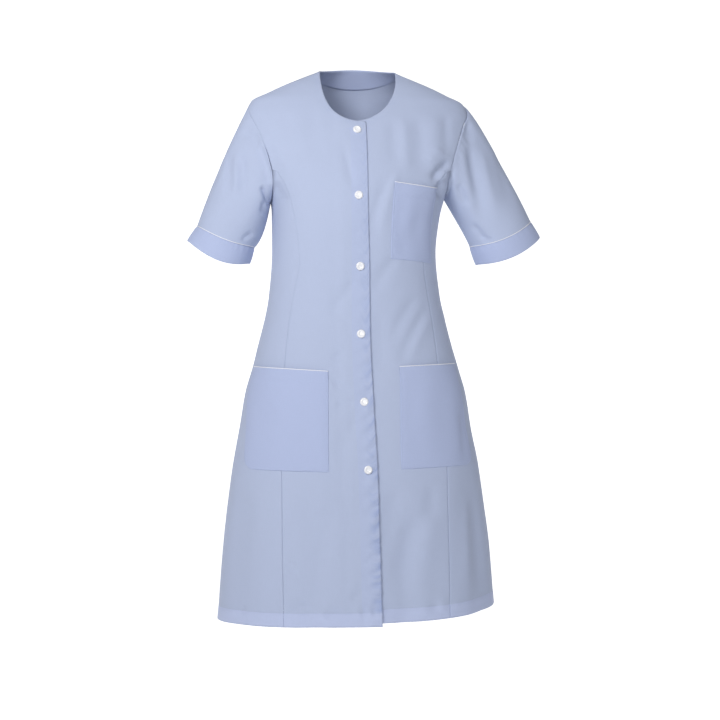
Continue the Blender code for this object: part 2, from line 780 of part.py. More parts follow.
def add_front(side, hole, collection):
    grids = wall_grids(front_places(side), lift=on_lap if side == RIGHT else on_body)
    edge_outer, edge_inner = hole.body_edge(list(range(NECK_ROWS + 1)))
    grids[0][: NECK_ROWS + 1, -1] = edge_outer
    grids[1][: NECK_ROWS + 1, -1] = edge_inner
    step_back(grids, (slice(NECK_ROWS, None), -1), (slice(NECK_ROWS, None), -2))
    step_back(grids, (0, slice(None)), (1, slice(None)))
    add_wall("front_" + SIDE_NAMES[side], grids, "body", collection)


def add_side_front(side, hole, collection):
    grids = wall_grids(side_places(side))
    grids[0][0], grids[1][0] = hole.body_edge(list(range(NECK_ROWS, hole.underarm + 1)))
    step_back(grids, (slice(None), 0), (slice(None), 1))
    step_back(grids, (slice(None), -1), (slice(None), -2))
    add_wall("side_front_" + SIDE_NAMES[side], grids, "body", collection)


def add_back(holes, collection):
    grids = wall_grids(back_places())
    armhole_rows = BACK_UPPER_ROWS + BACK_LOWER_ROWS
    for side, column, beside in ((LEFT, 0, 1), (RIGHT, -1, -2)):
        hole = holes[side]
        up = list(range(hole.underarm, len(hole.points))) + [0]
        edge_outer, edge_inner = hole.body_edge(up[::-1])
        grids[0][: armhole_rows + 1, column] = edge_outer
        grids[1][: armhole_rows + 1, column] = edge_inner
        step_back(grids, (slice(armhole_rows, None), column), (slice(armhole_rows, None), beside))
    for columns in (slice(0, SHOULDER_COLUMNS + 1), slice(-SHOULDER_COLUMNS - 1, None)):
        step_back(grids, (0, columns), (1, columns))
    add_wall("back", grids, "body", collection)
    return grids


def add_sleeve(hole, collection):
    side = SIDE_NAMES[hole.side]
    add_wall("sleeve_" + side, sleeve_grids(hole), "body", collection, closed=True)
    add_wall("cuff_" + side, cuff_grids(hole), "double", collection, closed=True)
    add_piping("cuff_piping_" + side, hole.seam_ring, collection, closed=True)


def patch_lift(share, from_mouth):
    """A patch lies close on its panel, and its mouth gapes a little between its ends."""
    gape = MOUTH_GAPE * math.sin(math.pi * share) * (1 - ease(from_mouth / MOUTH_GAPE_REACH))
    return PATCH_LIFT + gape


def pocket_angle(side, column, height, covered):
    """The angle of a pocket's column: those of the front from its pocket line, then shares of the side."""
    seam = seam_x(side, height)
    if LAP_COLUMNS + column <= FRONT_COLUMNS:
        edge = closing_edge(side, height)
        share = front_share(side, height, edge, seam, LAP_COLUMNS + column)
        return angle_at(mix(edge, seam, share), height)
    return mix(angle_at(seam, height), side * 90.0, covered)


def add_pocket(name, side, size, side_columns, side_line, depths, inset, collection):
    """A patch pocket with piping along its mouth. Depths run from the mouth to the bottom."""
    front_columns = FRONT_COLUMNS - LAP_COLUMNS
    columns = front_columns + side_columns
    shares = [column / columns for column in range(columns + 1)]
    outer, inner, mouth = [], [], None
    for depth in depths:
        places = []
        for column, share in enumerate(shares):
            top, bottom = mix(*size["top"], share), mix(*size["bottom"], share)
            height = mix(top, bottom, depth)
            covered = side_line(height) * (column - front_columns) / side_columns
            angle = pocket_angle(side, column, height, covered)
            if column == columns:
                radius = np.linalg.norm(body_point(angle, height)[:2])
                angle -= side * math.degrees(inset((1 - depth) * (top - bottom)) / radius)
            places.append((angle, height, share, depth * (top - bottom)))
        points = np.array([body_point(angle, height) for angle, height, _, _ in places])
        normals = np.array([body_normal(angle, height) for angle, height, _, _ in places])
        lifts = np.array([[patch_lift(share, below)] for _, _, share, below in places])
        inner.append(points + normals * lifts)
        outer.append(points + normals * (lifts + WALL))
        if mouth is None:
            mouth = points + normals * (lifts + PIPING_RADIUS)
            mouth[:, 2] += PIPING_RADIUS + SEAM_GAP
    add_wall(name, (np.array(outer), np.array(inner)), "double", collection)
    add_piping(name + "_piping", mouth, collection)


def add_hip_pocket(side, collection):
    size = HIP_POCKET[side]
    height = size["top"][1] - size["bottom"][1]
    straight = 1 - HIP_POCKET_CORNER / height
    depths = [straight * row / HIP_POCKET_ROWS for row in range(HIP_POCKET_ROWS + 1)]
    for step in range(1, HIP_CORNER_STEPS + 1):
        turn = step / HIP_CORNER_STEPS * math.pi / 2
        depths.append(straight + (1 - straight) * math.sin(turn))

    def corner(above_bottom):
        reach = max(HIP_POCKET_CORNER - above_bottom, 0.0)
        return HIP_POCKET_CORNER - math.sqrt(max(HIP_POCKET_CORNER**2 - reach**2, 0.0))

    def side_line(height):
        return POCKET_SIDE_LINE.read(SIDE_NAMES[side], height)

    name = "hip_pocket_" + SIDE_NAMES[side]
    add_pocket(name, side, size, POCKET_SIDE_COLUMN[side], side_line, depths, corner, collection)


def add_chest_pocket(collection):
    depths = [row / CHEST_POCKET_ROWS for row in range(CHEST_POCKET_ROWS + 1)]

    def square(above_bottom):
        return 0.0

    def side_line(height):
        return CHEST_SIDE_LINE.read("share", height)

    size = CHEST_POCKET
    add_pocket("chest_pocket", LEFT, size, CHEST_SIDE_COLUMNS, side_line, depths, square, collection)


def add_facing(back_grids, collection):
    """The back-neck facing lies inside the back, along the first cells of the back's own wall."""
    neck = slice(SHOULDER_COLUMNS, BACK_COLUMNS - SHOULDER_COLUMNS + 1)
    back_outer, back_inner = (grid[:, neck] for grid in back_grids)
    outer, inner = [], []
    for reach in FACING_REACH:
        on_wall = mix(back_inner[0], back_inner[1], reach)
        inward = on_wall - mix(back_outer[0], back_outer[1], reach)
        inward = inward / np.linalg.norm(inward, axis=1, keepdims=True)
        outer.append(on_wall + inward * FACING_LIFT)
        inner.append(on_wall + inward * (FACING_LIFT + FACING_WALL))
    add_wall("back_neck_facing", (np.array(outer), np.array(inner)), "double", collection)


def add_snaps(collection):
    """Six round snap caps on the lapping front, each turned from one profile and facing out of the cloth."""
    for number, height in enumerate(SNAP_HEIGHTS, start=1):
        name = f"snap_{number}"
        mesh = bpy.data.meshes.new(name)
        profile = bmesh.new()
        points = [profile.verts.new((SNAP_RADIUS * r, 0.0, SNAP_HEIGHT * z)) for r, z in SNAP_PROFILE]
        for above, below in zip(points, points[1:]):
            profile.edges.new((above, below))
        profile.to_mesh(mesh)
        profile.free()
        snap = place_object(name, mesh, "snap", collection)
        turned = snap.modifiers.new("turned", "SCREW")
        turned.steps = turned.render_steps = SNAP_STEPS
        turned.use_merge_vertices = True
        turned.merge_threshold = 0.00005
        x = CENTRE_FRONT.read("x", height)
        angle = angle_at(x, height)
        normal = body_normal(angle, height)
        seat = body_point(angle, height) + normal * (lap_lift(x, height) + SNAP_LIFT)
        snap.location = seat
        snap.rotation_euler = Vector(normal).to_track_quat("Z", "Y").to_euler()


def main():
    for old in list(bpy.data.objects):
        bpy.data.objects.remove(old)
    collection = bpy.data.collections.new("work_blouse")
    bpy.context.scene.collection.children.link(collection)
    holes = {side: Armhole(side) for side in (LEFT, RIGHT)}
    for side in (RIGHT, LEFT):
        add_front(side, holes[side], collection)
        add_side_front(side, holes[side], collection)
        add_sleeve(holes[side], collection)
        add_hip_pocket(side, collection)
    back_grids = add_back(holes, collection)
    add_facing(back_grids, collection)
    add_chest_pocket(collection)
    add_snaps(collection)


main()
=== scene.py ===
"""Dresses the work blouse with cloth panels, piping, snap caps and sewing, in a pale studio.

Metres, +Z up, the front faces -Y and the wearer's left is +X. Places on the body are an angle round it (0 at
the front, 90 at the wearer's left side, 180 at the back, 270 at the right side) and a height.
"""

import math

import bmesh
import bpy
import numpy as np
from mathutils import Matrix, Vector


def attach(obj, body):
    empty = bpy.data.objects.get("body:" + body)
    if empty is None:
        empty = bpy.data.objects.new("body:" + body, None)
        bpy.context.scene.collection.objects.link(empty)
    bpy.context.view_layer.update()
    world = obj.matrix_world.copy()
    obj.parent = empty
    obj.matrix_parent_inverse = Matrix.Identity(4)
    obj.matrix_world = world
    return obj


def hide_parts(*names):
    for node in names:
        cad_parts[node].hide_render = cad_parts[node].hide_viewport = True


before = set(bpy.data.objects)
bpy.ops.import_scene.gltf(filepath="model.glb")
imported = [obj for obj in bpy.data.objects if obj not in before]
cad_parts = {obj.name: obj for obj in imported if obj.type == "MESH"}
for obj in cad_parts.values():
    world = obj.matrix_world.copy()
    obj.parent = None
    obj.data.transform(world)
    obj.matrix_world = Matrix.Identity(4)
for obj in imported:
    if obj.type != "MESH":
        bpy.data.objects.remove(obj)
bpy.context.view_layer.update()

# ------------------------------------------------------------
# Studio: a seamless white sweep that runs from the floor up behind the garment, one large soft light high at
# the left, a weaker one in front, and a camera level with the middle of the garment.
CAMERA_DISTANCE = 2.6
CAMERA_HEIGHT = -0.515
CAMERA_TURN = math.radians(-6.0)
CAMERA_ASIDE = 0.0054
CAMERA_LENS = 72.2
CAMERA_CLIP = 60.0
FLOOR_HEIGHT = -1.45
SWEEP_BACK = 3.4
SWEEP_FRONT = -3.6
SWEEP_RADIUS = 0.9
SWEEP_HALF_WIDTH = 4.0
SWEEP_TOP = 3.2
SWEEP_STEPS = 16
GLOW_START = -0.9
GLOW_END = 1.05
FLOOR_GLOW = 0.36
GLOW_STRENGTH = 0.62
PAPER_TINT = (0.86, 0.87, 0.88, 1.0)
PAPER_ROUGHNESS = 0.9
AIR_TINT = (0.97, 0.965, 0.975, 1.0)
AIR_STRENGTH = 0.31
LIGHT_SPREAD = math.radians(130.0)
LIGHTS = {
    # place, the point it aims at, size, power, colour
    "key_light": ((-1.25, -1.9, 0.70), (-0.1, 0.0, -0.05), 0.9, 18.6, (0.995, 0.985, 0.975)),
    "fill_light": ((0.3, -3.0, 0.25), (0.0, 0.0, -0.05), 1.0, 10.0, (0.97, 0.98, 1.0)),
}


class Mask:
    """A socket that carries a number over the surface, with arithmetic that adds Math nodes."""

    def __init__(self, paint, socket):
        self.paint = paint
        self.socket = socket

    def __add__(self, other):
        return self.paint.maths("ADD", self, other)

    def __radd__(self, other):
        return self.paint.maths("ADD", other, self)

    def __sub__(self, other):
        return self.paint.maths("SUBTRACT", self, other)

    def __rsub__(self, other):
        return self.paint.maths("SUBTRACT", other, self)

    def __mul__(self, other):
        return self.paint.maths("MULTIPLY", self, other)

    def __rmul__(self, other):
        return self.paint.maths("MULTIPLY", other, self)

    def __truediv__(self, other):
        return self.paint.maths("DIVIDE", self, other)


class Paint:
    """One material's nodes, added one call at a time."""

    def __init__(self, name):
        self.material = bpy.data.materials.new(name)
        self.material.use_nodes = True
        self.nodes = self.material.node_tree.nodes
        self.links = self.material.node_tree.links
        self.shader = self.nodes["Principled BSDF"]

    def add(self, kind, settings, sockets):
        node = self.nodes.new(kind)
        for key, value in settings.items():
            setattr(node, key, value)
        for key, value in sockets.items():
            self.set(node.inputs[key], value)
        return node

    def set(self, socket, value):
        if isinstance(value, Mask):
            value = value.socket
        if isinstance(value, bpy.types.NodeSocket):
            self.links.new(value, socket)
        else:
            socket.default_value = value

    def shade(self, values):
        """Sets sockets of the shader by name, from a number, a colour or another socket."""
        for key, value in values.items():
            self.set(self.shader.inputs[key], value)

    def place(self):
        return self.add("ShaderNodeTexCoord", {}, {}).outputs["Object"]

    def maths(self, operation, first, second=0.0, clamped=False):
        settings = {"operation": operation, "use_clamp": clamped}
        return Mask(self, self.add("ShaderNodeMath", settings, {0: first, 1: second}).outputs[0])

    def held(self, value, factor=1.0):
        """A product kept between 0 and 1."""
        return self.maths("MULTIPLY", value, factor, clamped=True)

    def mixed(self, share, first, second, blend="MIX"):
        settings = {"data_type": "RGBA", "blend_type": blend}
        node = self.add("ShaderNodeMix", settings, {"Factor": share})
        self.set(node.inputs[6], first)
        self.set(node.inputs[7], second)
        return node.outputs[2]

    def noise(self, place, scale, detail=2.0, roughness=0.5):
        sockets = {"Vector": place, "Scale": scale, "Detail": detail, "Roughness": roughness}
        return Mask(self, self.add("ShaderNodeTexNoise", {}, sockets).outputs["Fac"])

    def stretched_noise(self, vector, scale, detail, turn=0.0):
        sockets = {"Vector": vector, "Rotation": (0.0, 0.0, turn), "Scale": scale}
        return self.noise(self.add("ShaderNodeMapping", {}, sockets).outputs[0], 1.0, detail)

    def bump(self, strength, distance, height):
        node = self.add("ShaderNodeBump", {}, {"Strength": strength, "Distance": distance, "Height": height})
        self.shade({"Normal": node.outputs["Normal"]})


def studio_paper():
    """White paper, lit from behind, most where it rises behind the garment."""
    paint = Paint("studio_paper")
    depth = Mask(paint, paint.add("ShaderNodeSeparateXYZ", {}, {"Vector": paint.place()}).outputs["Y"])
    glow = paint.held(depth - GLOW_START, 1 / (GLOW_END - GLOW_START))
    dim = (FLOOR_GLOW, FLOOR_GLOW, FLOOR_GLOW, 1.0)
    paint.shade({"Emission Color": paint.mixed(glow, dim, (1, 1, 1, 1)), "Emission Strength": GLOW_STRENGTH})
    paint.shade({"Base Color": PAPER_TINT, "Roughness": PAPER_ROUGHNESS})
    return paint.material


def soft_light(name, place, target, size, power, colour):
    """A square soft box, aimed high, so that the light fades a little towards the hem."""
    lamp = bpy.data.lights.new(name, "AREA")
    lamp.size = size
    lamp.spread = LIGHT_SPREAD
    lamp.energy = power
    lamp.color = colour
    lit = bpy.data.objects.new(name, lamp)
    lit.location = place
    lit.rotation_euler = (Vector(target) - Vector(place)).to_track_quat("-Z", "Y").to_euler()
    bpy.context.scene.collection.objects.link(lit)


def solid_from(shape, name, finish):
    """An object of one material made of a bmesh, which is freed."""
    mesh = bpy.data.meshes.new(name)
    shape.to_mesh(mesh)
    shape.free()
    mesh.shade_smooth()
    mesh.materials.append(finish)
    made = bpy.data.objects.new(name, mesh)
    bpy.context.scene.collection.objects.link(made)
    return made


camera = bpy.data.objects.new("camera", bpy.data.cameras.new("camera"))
camera.data.lens = CAMERA_LENS
camera.data.clip_end = CAMERA_CLIP
camera.location = (
    CAMERA_DISTANCE * math.sin(CAMERA_TURN) + CAMERA_ASIDE * math.cos(CAMERA_TURN),
    -CAMERA_DISTANCE * math.cos(CAMERA_TURN) + CAMERA_ASIDE * math.sin(CAMERA_TURN),
    CAMERA_HEIGHT,
)
camera.rotation_euler = (math.pi / 2, 0.0, CAMERA_TURN)
bpy.context.scene.collection.objects.link(camera)
bpy.context.scene.camera = camera
bpy.context.scene.view_settings.view_transform = "Standard"

sweep_shape = bmesh.new()
first = sweep_shape.verts.new((-SWEEP_HALF_WIDTH, SWEEP_FRONT, FLOOR_HEIGHT))
second = sweep_shape.verts.new((SWEEP_HALF_WIDTH, SWEEP_FRONT, FLOOR_HEIGHT))
edge = sweep_shape.edges.new((first, second))
run = bmesh.ops.extrude_edge_only(sweep_shape, edges=[edge])["geom"]
bmesh.ops.translate(
    sweep_shape,
    verts=[g for g in run if isinstance(g, bmesh.types.BMVert)],
    vec=(0.0, SWEEP_BACK - SWEEP_RADIUS - SWEEP_FRONT, 0.0),
)
bmesh.ops.spin(
    sweep_shape,
    geom=[g for g in run if isinstance(g, (bmesh.types.BMVert, bmesh.types.BMEdge))],
    cent=(0.0, SWEEP_BACK - SWEEP_RADIUS, FLOOR_HEIGHT + SWEEP_RADIUS),
    axis=(1.0, 0.0, 0.0),
    angle=math.pi / 2,
    steps=SWEEP_STEPS,
)
top_edge = max(sweep_shape.edges, key=lambda e: e.verts[0].co.z + e.verts[1].co.z)
run = bmesh.ops.extrude_edge_only(sweep_shape, edges=[top_edge])["geom"]
for vert in [g for g in run if isinstance(g, bmesh.types.BMVert)]:
    vert.co.z = SWEEP_TOP
bmesh.ops.recalc_face_normals(sweep_shape, faces=sweep_shape.faces)
sweep = solid_from(sweep_shape, "studio_sweep", studio_paper())

studio_air = bpy.data.worlds.new("studio_air")
studio_air.use_nodes = True
studio_air.node_tree.nodes["Background"].inputs["Color"].default_value = AIR_TINT
studio_air.node_tree.nodes["Background"].inputs["Strength"].default_value = AIR_STRENGTH
bpy.context.scene.world = studio_air
for name, values in LIGHTS.items():
    soft_light(name, *values)

# ------------------------------------------------------------
# Fronts: the two front panels of thin plain-woven cloth, from neckline to hem. The right one laps over the
# left one and stands a little off it. Both hold a strip of double cloth down the edge and a turned-up hem.
LEFT = 1
RIGHT = -1
SIDE_NAMES = {LEFT: "left", RIGHT: "right"}
CLOTH = 0.0006
SHOULDER_SINK = 0.0003
ARMHOLE_SINK = {LEFT: 0.0006, RIGHT: 0.00025}
PRINCESS_SINK = {LEFT: (0.0005, 0.0006), RIGHT: (0.00012, 0.0006)}
PRINCESS_SINK_HEIGHTS = (-0.36, -0.62)
SEAM_ROLL = 0.0016
SEAM_ROWS = (0.0009, 0.0019, 0.0032)
CENTRE_BACK_NECK = 0.016
NECK_POINT = 0.004
CENTRE_FRONT_NECK = -0.098
SHOULDER_TIP = -0.053
UNDERARM = -0.235
LEFT_UNDERARM_LIFT = 0.013
LEFT_UNDERARM_REACH = (25.0, 0.055)
HEM_SWING_START = -0.700
HEM = -0.963
NECK_HALF_WIDTH = 0.068
FRONT_PITCH = (68.0, -0.184)
BACK_PITCH = (106.0, -0.165)
ARMHOLE_SWEEP = 1.8
LAP_REACH = 0.0165
LAP_LIFT = 0.0015
LAP_RISE_START = 0.046
LAP_RISE_END = 0.026
LAP_FLARE_AT_HEM = 0.0025
HEM_DEPTH = 0.0235
HEM_AT_FRONT = {LEFT: -0.9605, RIGHT: -0.966}
HEM_AT_SIDE = {LEFT: -0.946, RIGHT: -0.974}
HEM_SIDE_POWER = 2.5
NECK_SQUARENESS = {LEFT: 2.2, RIGHT: 2.7}
FRONT_NECK_SHARE = 0.15
LAP_STRIP = 0.034
CREASE_FADES = (0.3, 0.35)
CREASE_TAPER = (0.75, 1.25)
SLACK_DEPTH = 0.00042
SIDE_OVERLAP = 0.05
BODY_BLEND = 0.2
HEM_GIRTH_RADIUS = 0.22
HEM_PUCKER = {"depth": 0.0011, "reach": 0.011}
HEM_STITCH = {"depth": 0.0006, "reach": 0.0022}
HEM_BAND = {"depth": 0.0004, "reach": 0.0015}
LAP_PUCKER_DEPTH = (0.00045, 0.0018)
LAP_PUCKER_HEIGHTS = (-0.38, -0.68)
LAP_PUCKER_PLACE = 0.010
LAP_PUCKER_REACH = 0.011
FRONT_MESH = (62, 290)
FRONT_SIZE = (0.17, 0.93)


class Table:
    """Rows with named columns, read smoothly at any height, without overshoot between the rows."""

    def __init__(self, names, rows):
        rows = np.array(sorted(rows), float)
        self.at = rows[:, 0]
        steps = np.diff(self.at)
        self.columns = {}
        for k, name in enumerate(names):
            values = rows[:, k + 1]
            rises = np.diff(values) / steps
            before, after = rises[:-1], rises[1:]
            first, second = 2 * steps[1:] + steps[:-1], steps[1:] + 2 * steps[:-1]
            with np.errstate(divide="ignore", invalid="ignore"):
                inner = (first + second) / (first / before + second / after)
            inner = np.where(before * after > 0, inner, 0.0)
            self.columns[name] = (values, np.concatenate([rises[:1], inner, rises[-1:]]))

    def read(self, name, height):
        values, slopes = self.columns[name]
        height = np.clip(height, self.at[0], self.at[-1])
        k = np.clip(np.searchsorted(self.at, height, side="right") - 1, 0, len(self.at) - 2)
        step = self.at[k + 1] - self.at[k]
        t = (height - self.at[k]) / step
        start = values[k] * (1 + 2 * t) * (1 - t) ** 2 + slopes[k] * step * t * (1 - t) ** 2
        return start + values[k + 1] * t * t * (3 - 2 * t) - slopes[k + 1] * step * t * t * (1 - t)


BODY = Table(
    ("half_width", "front", "back", "squareness", "shift"),
    (
        (0.018, 0.040, 0.004, 0.046, 2.2, 0.000),
        (0.004, 0.068, 0.010, 0.055, 2.2, 0.000),
        (-0.010, 0.101, 0.022, 0.063, 2.2, 0.000),
        (-0.024, 0.134, 0.034, 0.070, 2.3, 0.000),
        (-0.038, 0.163, 0.044, 0.075, 2.3, 0.000),
        (-0.053, 0.191, 0.053, 0.079, 2.4, 0.001),
        (-0.085, 0.203, 0.071, 0.088, 2.4, 0.001),
        (-0.125, 0.202, 0.089, 0.097, 2.4, 0.002),
        (-0.163, 0.192, 0.102, 0.102, 2.4, 0.002),
        (-0.190, 0.179, 0.109, 0.104, 2.4, 0.002),
        (-0.210, 0.168, 0.113, 0.105, 2.4, 0.002),
        (-0.235, 0.156, 0.116, 0.104, 2.4, 0.001),
        (-0.270, 0.150, 0.118, 0.100, 2.4, -0.003),
        (-0.324, 0.1465, 0.116, 0.092, 2.4, -0.006),
        (-0.400, 0.153, 0.112, 0.092, 2.4, -0.005),
        (-0.443, 0.162, 0.113, 0.098, 2.4, -0.004),
        (-0.486, 0.173, 0.117, 0.106, 2.4, -0.004),
        (-0.529, 0.1845, 0.122, 0.114, 2.4, -0.003),
        (-0.572, 0.197, 0.127, 0.120, 2.4, -0.003),
        (-0.637, 0.208, 0.134, 0.126, 2.3, -0.003),
        (-0.702, 0.2205, 0.141, 0.132, 2.3, -0.002),
        (-0.767, 0.2295, 0.147, 0.138, 2.3, -0.002),
        (-0.853, 0.2395, 0.155, 0.146, 2.3, -0.001),
        (-0.975, 0.249, 0.165, 0.156, 2.3, -0.001),
    ),
)

# Soft troughs of the hanging skirt: angle and width in degrees, and how the trough leans towards its end
SKIRT_FOLDS = (
    # angle, width, depth, top, bottom, lean
    (30.0, 6.5, 0.0035, -0.720, -0.990, -8.0),
    (64.0, 7.0, 0.0045, -0.640, -0.990, 2.0),
    (-31.0, 7.0, 0.0030, -0.730, -0.990, 3.0),
    (-68.0, 8.0, 0.0040, -0.680, -0.990, 2.0),
    (112.0, 8.0, 0.0050, -0.560, -0.990, 3.0),
    (143.0, 7.0, 0.0045, -0.620, -0.990, 2.0),
    (171.0, 8.0, 0.0055, -0.520, -0.990, 4.0),
    (201.0, 7.0, 0.0045, -0.600, -0.990, -3.0),
    (232.0, 8.0, 0.0050, -0.560, -0.990, -2.0),
    (255.0, 6.0, 0.0035, -0.660, -0.990, 0.0),
    (136.0, 5.5, 0.0030, -0.240, -0.330, 3.0),
    (222.0, 5.5, 0.0030, -0.230, -0.330, -3.0),
)
FOLD_RAMP = 0.45

CENTRE_FRONT = Table(
    ("x",),
    (
        (-0.098, -0.0085),
        (-0.231, -0.0090),
        (-0.370, -0.0060),
        (-0.470, -0.0050),
        (-0.587, -0.0010),
        (-0.702, 0.0044),
        (-0.975, 0.0100),
    ),
)

PRINCESS_SEAM = Table(
    ("middle", "offset"),
    (
        (-0.184, 0.001, 0.1510),
        (-0.208, 0.000, 0.1350),
        (-0.245, 0.000, 0.1225),
        (-0.300, 0.000, 0.1130),
        (-0.346, 0.000, 0.1095),
        (-0.394, -0.001, 0.1172),
        (-0.424, -0.001, 0.1225),
        (-0.470, -0.001, 0.1290),
        (-0.520, -0.001, 0.1340),
        (-0.610, 0.001, 0.1410),
        (-0.710, 0.002, 0.1440),
        (-0.840, 0.003, 0.1440),
        (-0.975, 0.004, 0.1430),
    ),
)

# Creases in the front, laid between two places on it: x and height of both ends, then the crease's
# half width and its depth (a ridge where the depth is below 0), and how far its middle bows sideways
FRONT_CREASES = (
    # chest, wearer's left
    (0.056, -0.085, 0.058, -0.188, 0.013, 0.0020, 0.002),
    (0.076, -0.080, 0.077, -0.200, 0.010, -0.0014, 0.002),
    (0.099, -0.076, 0.097, -0.206, 0.016, 0.0028, -0.004),
    (0.130, -0.070, 0.124, -0.180, 0.014, -0.0014, -0.004),
    (0.156, -0.070, 0.152, -0.160, 0.009, 0.0016, 0.002),
    (0.161, -0.162, 0.122, -0.208, 0.0075, 0.0060, 0.005),
    (0.166, -0.184, 0.130, -0.216, 0.008, -0.0022, 0.008),
    (0.150, -0.146, 0.116, -0.178, 0.012, -0.0020, 0.010),
    (0.140, -0.196, 0.138, -0.232, 0.007, 0.0056, 0.000),
    (0.050, -0.190, 0.012, -0.322, 0.012, 0.0022, 0.008),
    (0.066, -0.180, 0.028, -0.310, 0.009, -0.0020, 0.008),
    (0.064, -0.330, 0.012, -0.408, 0.012, 0.0022, 0.005),
    (0.104, -0.262, 0.066, -0.352, 0.016, 0.0015, 0.006),
    (0.122, -0.412, 0.058, -0.530, 0.010, 0.0020, 0.004),
    (0.128, -0.430, 0.072, -0.536, 0.009, -0.0014, 0.004),
    (0.100, -0.396, 0.040, -0.500, 0.011, 0.0022, 0.004),
    (0.030, -0.420, 0.026, -0.560, 0.016, 0.0020, 0.000),
    # skirt, wearer's left
    (0.098, -0.765, 0.045, -0.925, 0.020, 0.0034, 0.006),
    (0.130, -0.770, 0.082, -0.945, 0.018, -0.0020, 0.006),
    (0.055, -0.720, 0.030, -0.860, 0.020, 0.0034, 0.000),
    (0.120, -0.725, 0.108, -0.800, 0.015, 0.0024, 0.000),
    (0.200, -0.740, 0.206, -0.950, 0.015, 0.0038, 0.000),
    (0.180, -0.740, 0.184, -0.930, 0.010, -0.0026, 0.000),
    (0.176, -0.590, 0.182, -0.700, 0.008, 0.0024, 0.000),
    # chest, wearer's right
    (-0.040, -0.120, -0.022, -0.220, 0.012, 0.0014, 0.000),
    (-0.032, -0.150, -0.016, -0.228, 0.006, 0.0012, 0.000),
    (-0.085, -0.060, -0.080, -0.190, 0.018, 0.0016, 0.004),
    (-0.125, -0.070, -0.118, -0.180, 0.016, 0.0018, 0.006),
    (-0.120, -0.180, -0.060, -0.260, 0.020, 0.0014, 0.004),
    (-0.160, -0.120, -0.138, -0.205, 0.010, 0.0026, 0.006),
    (-0.150, -0.200, -0.132, -0.246, 0.008, 0.0026, 0.002),
    # waist, wearer's right
    (-0.012, -0.372, -0.060, -0.438, 0.011, 0.0020, 0.000),
    (-0.016, -0.455, -0.070, -0.420, 0.010, 0.0014, 0.000),
    (-0.018, -0.572, -0.058, -0.556, 0.007, 0.0018, 0.000),
    (-0.016, -0.590, -0.052, -0.592, 0.006, 0.0016, 0.000),
    (-0.058, -0.515, -0.030, -0.500, 0.006, 0.0015, 0.000),
    (-0.060, -0.548, -0.040, -0.560, 0.005, 0.0014, 0.000),
    (-0.012, -0.600, -0.052, -0.700, 0.014, 0.0020, 0.000),
    # skirt, wearer's right
    (-0.062, -0.745, -0.072, -0.900, 0.020, 0.0028, 0.004),
    (-0.100, -0.730, -0.104, -0.860, 0.016, 0.0016, 0.000),
    (-0.020, -0.740, -0.030, -0.900, 0.018, 0.0016, 0.000),
    (-0.115, -0.862, -0.140, -0.856, 0.006, 0.0014, 0.000),
    (-0.112, -0.882, -0.140, -0.872, 0.006, 0.0018, 0.000),
    (-0.206, -0.700, -0.222, -0.930, 0.016, 0.0030, 0.000),
    (-0.090, -0.925, -0.140, -0.946, 0.008, 0.0026, 0.000),
    (-0.040, -0.935, -0.074, -0.950, 0.007, 0.0020, 0.000),
    (-0.030, -0.925, 0.000, -0.900, 0.008, 0.0020, 0.000),
)

# Creases in the back, in the same columns
BACK_CREASES = (
    (0.030, 0.000, 0.036, -0.120, 0.016, 0.0012, 0.004),
    (-0.045, -0.010, -0.050, -0.130, 0.018, 0.0014, -0.004),
    (0.165, -0.120, 0.120, -0.215, 0.012, 0.0026, 0.010),
    (-0.165, -0.120, -0.118, -0.220, 0.012, 0.0028, -0.010),
    (0.150, -0.185, 0.095, -0.250, 0.010, 0.0018, 0.006),
    (-0.152, -0.190, -0.085, -0.262, 0.010, 0.0020, -0.006),
    (0.100, -0.250, 0.020, -0.335, 0.014, 0.0020, 0.006),
    (-0.095, -0.245, -0.012, -0.350, 0.015, 0.0022, -0.006),
    (0.120, -0.320, 0.060, -0.300, 0.010, 0.0018, 0.004),
    (-0.122, -0.335, -0.055, -0.310, 0.011, 0.0017, 0.004),
    (0.118, -0.365, 0.050, -0.385, 0.010, 0.0015, -0.004),
    (-0.112, -0.375, -0.045, -0.392, 0.011, 0.0016, 0.004),
    (0.060, -0.430, 0.090, -0.560, 0.018, 0.0016, 0.000),
    (-0.064, -0.430, -0.088, -0.570, 0.017, 0.0016, 0.000),
    (0.000, -0.430, 0.004, -0.600, 0.022, 0.0016, 0.000),
    (0.150, -0.720, 0.165, -0.930, 0.016, -0.0020, 0.000),
    (-0.120, -0.740, -0.134, -0.930, 0.016, -0.0022, 0.000),
    (0.050, -0.760, 0.060, -0.940, 0.016, -0.0018, 0.000),
)


def ease(t):
    """0 below 0, 1 above 1, and a smooth rise between."""
    t = np.clip(t, 0.0, 1.0)
    return t * t * (3 - 2 * t)


def mix(first, second, t):
    return first + (second - first) * t


def bell(distance, width):
    """1 at no distance, falling softly to nothing over about twice the width."""
    return np.exp(-((distance / width) ** 2))


def unit(vectors):
    return vectors / np.maximum(np.linalg.norm(vectors, axis=-1, keepdims=True), 1e-12)


def run_of(points):
    """How far each point of a line lies along it."""
    return np.concatenate([[0.0], np.cumsum(np.linalg.norm(np.diff(points, axis=0), axis=1))])


def spans(points):
    """How far each point of a lattice lies across from its first column, and up from its last row."""
    steps_across = np.linalg.norm(np.diff(points, axis=1), axis=-1)
    steps_down = np.linalg.norm(np.diff(points, axis=0), axis=-1)
    across = np.hstack([np.zeros((points.shape[0], 1)), np.cumsum(steps_across, axis=1)])
    up = np.vstack([np.cumsum(steps_down[::-1], axis=0)[::-1], np.zeros((1, points.shape[1]))])
    return across, up


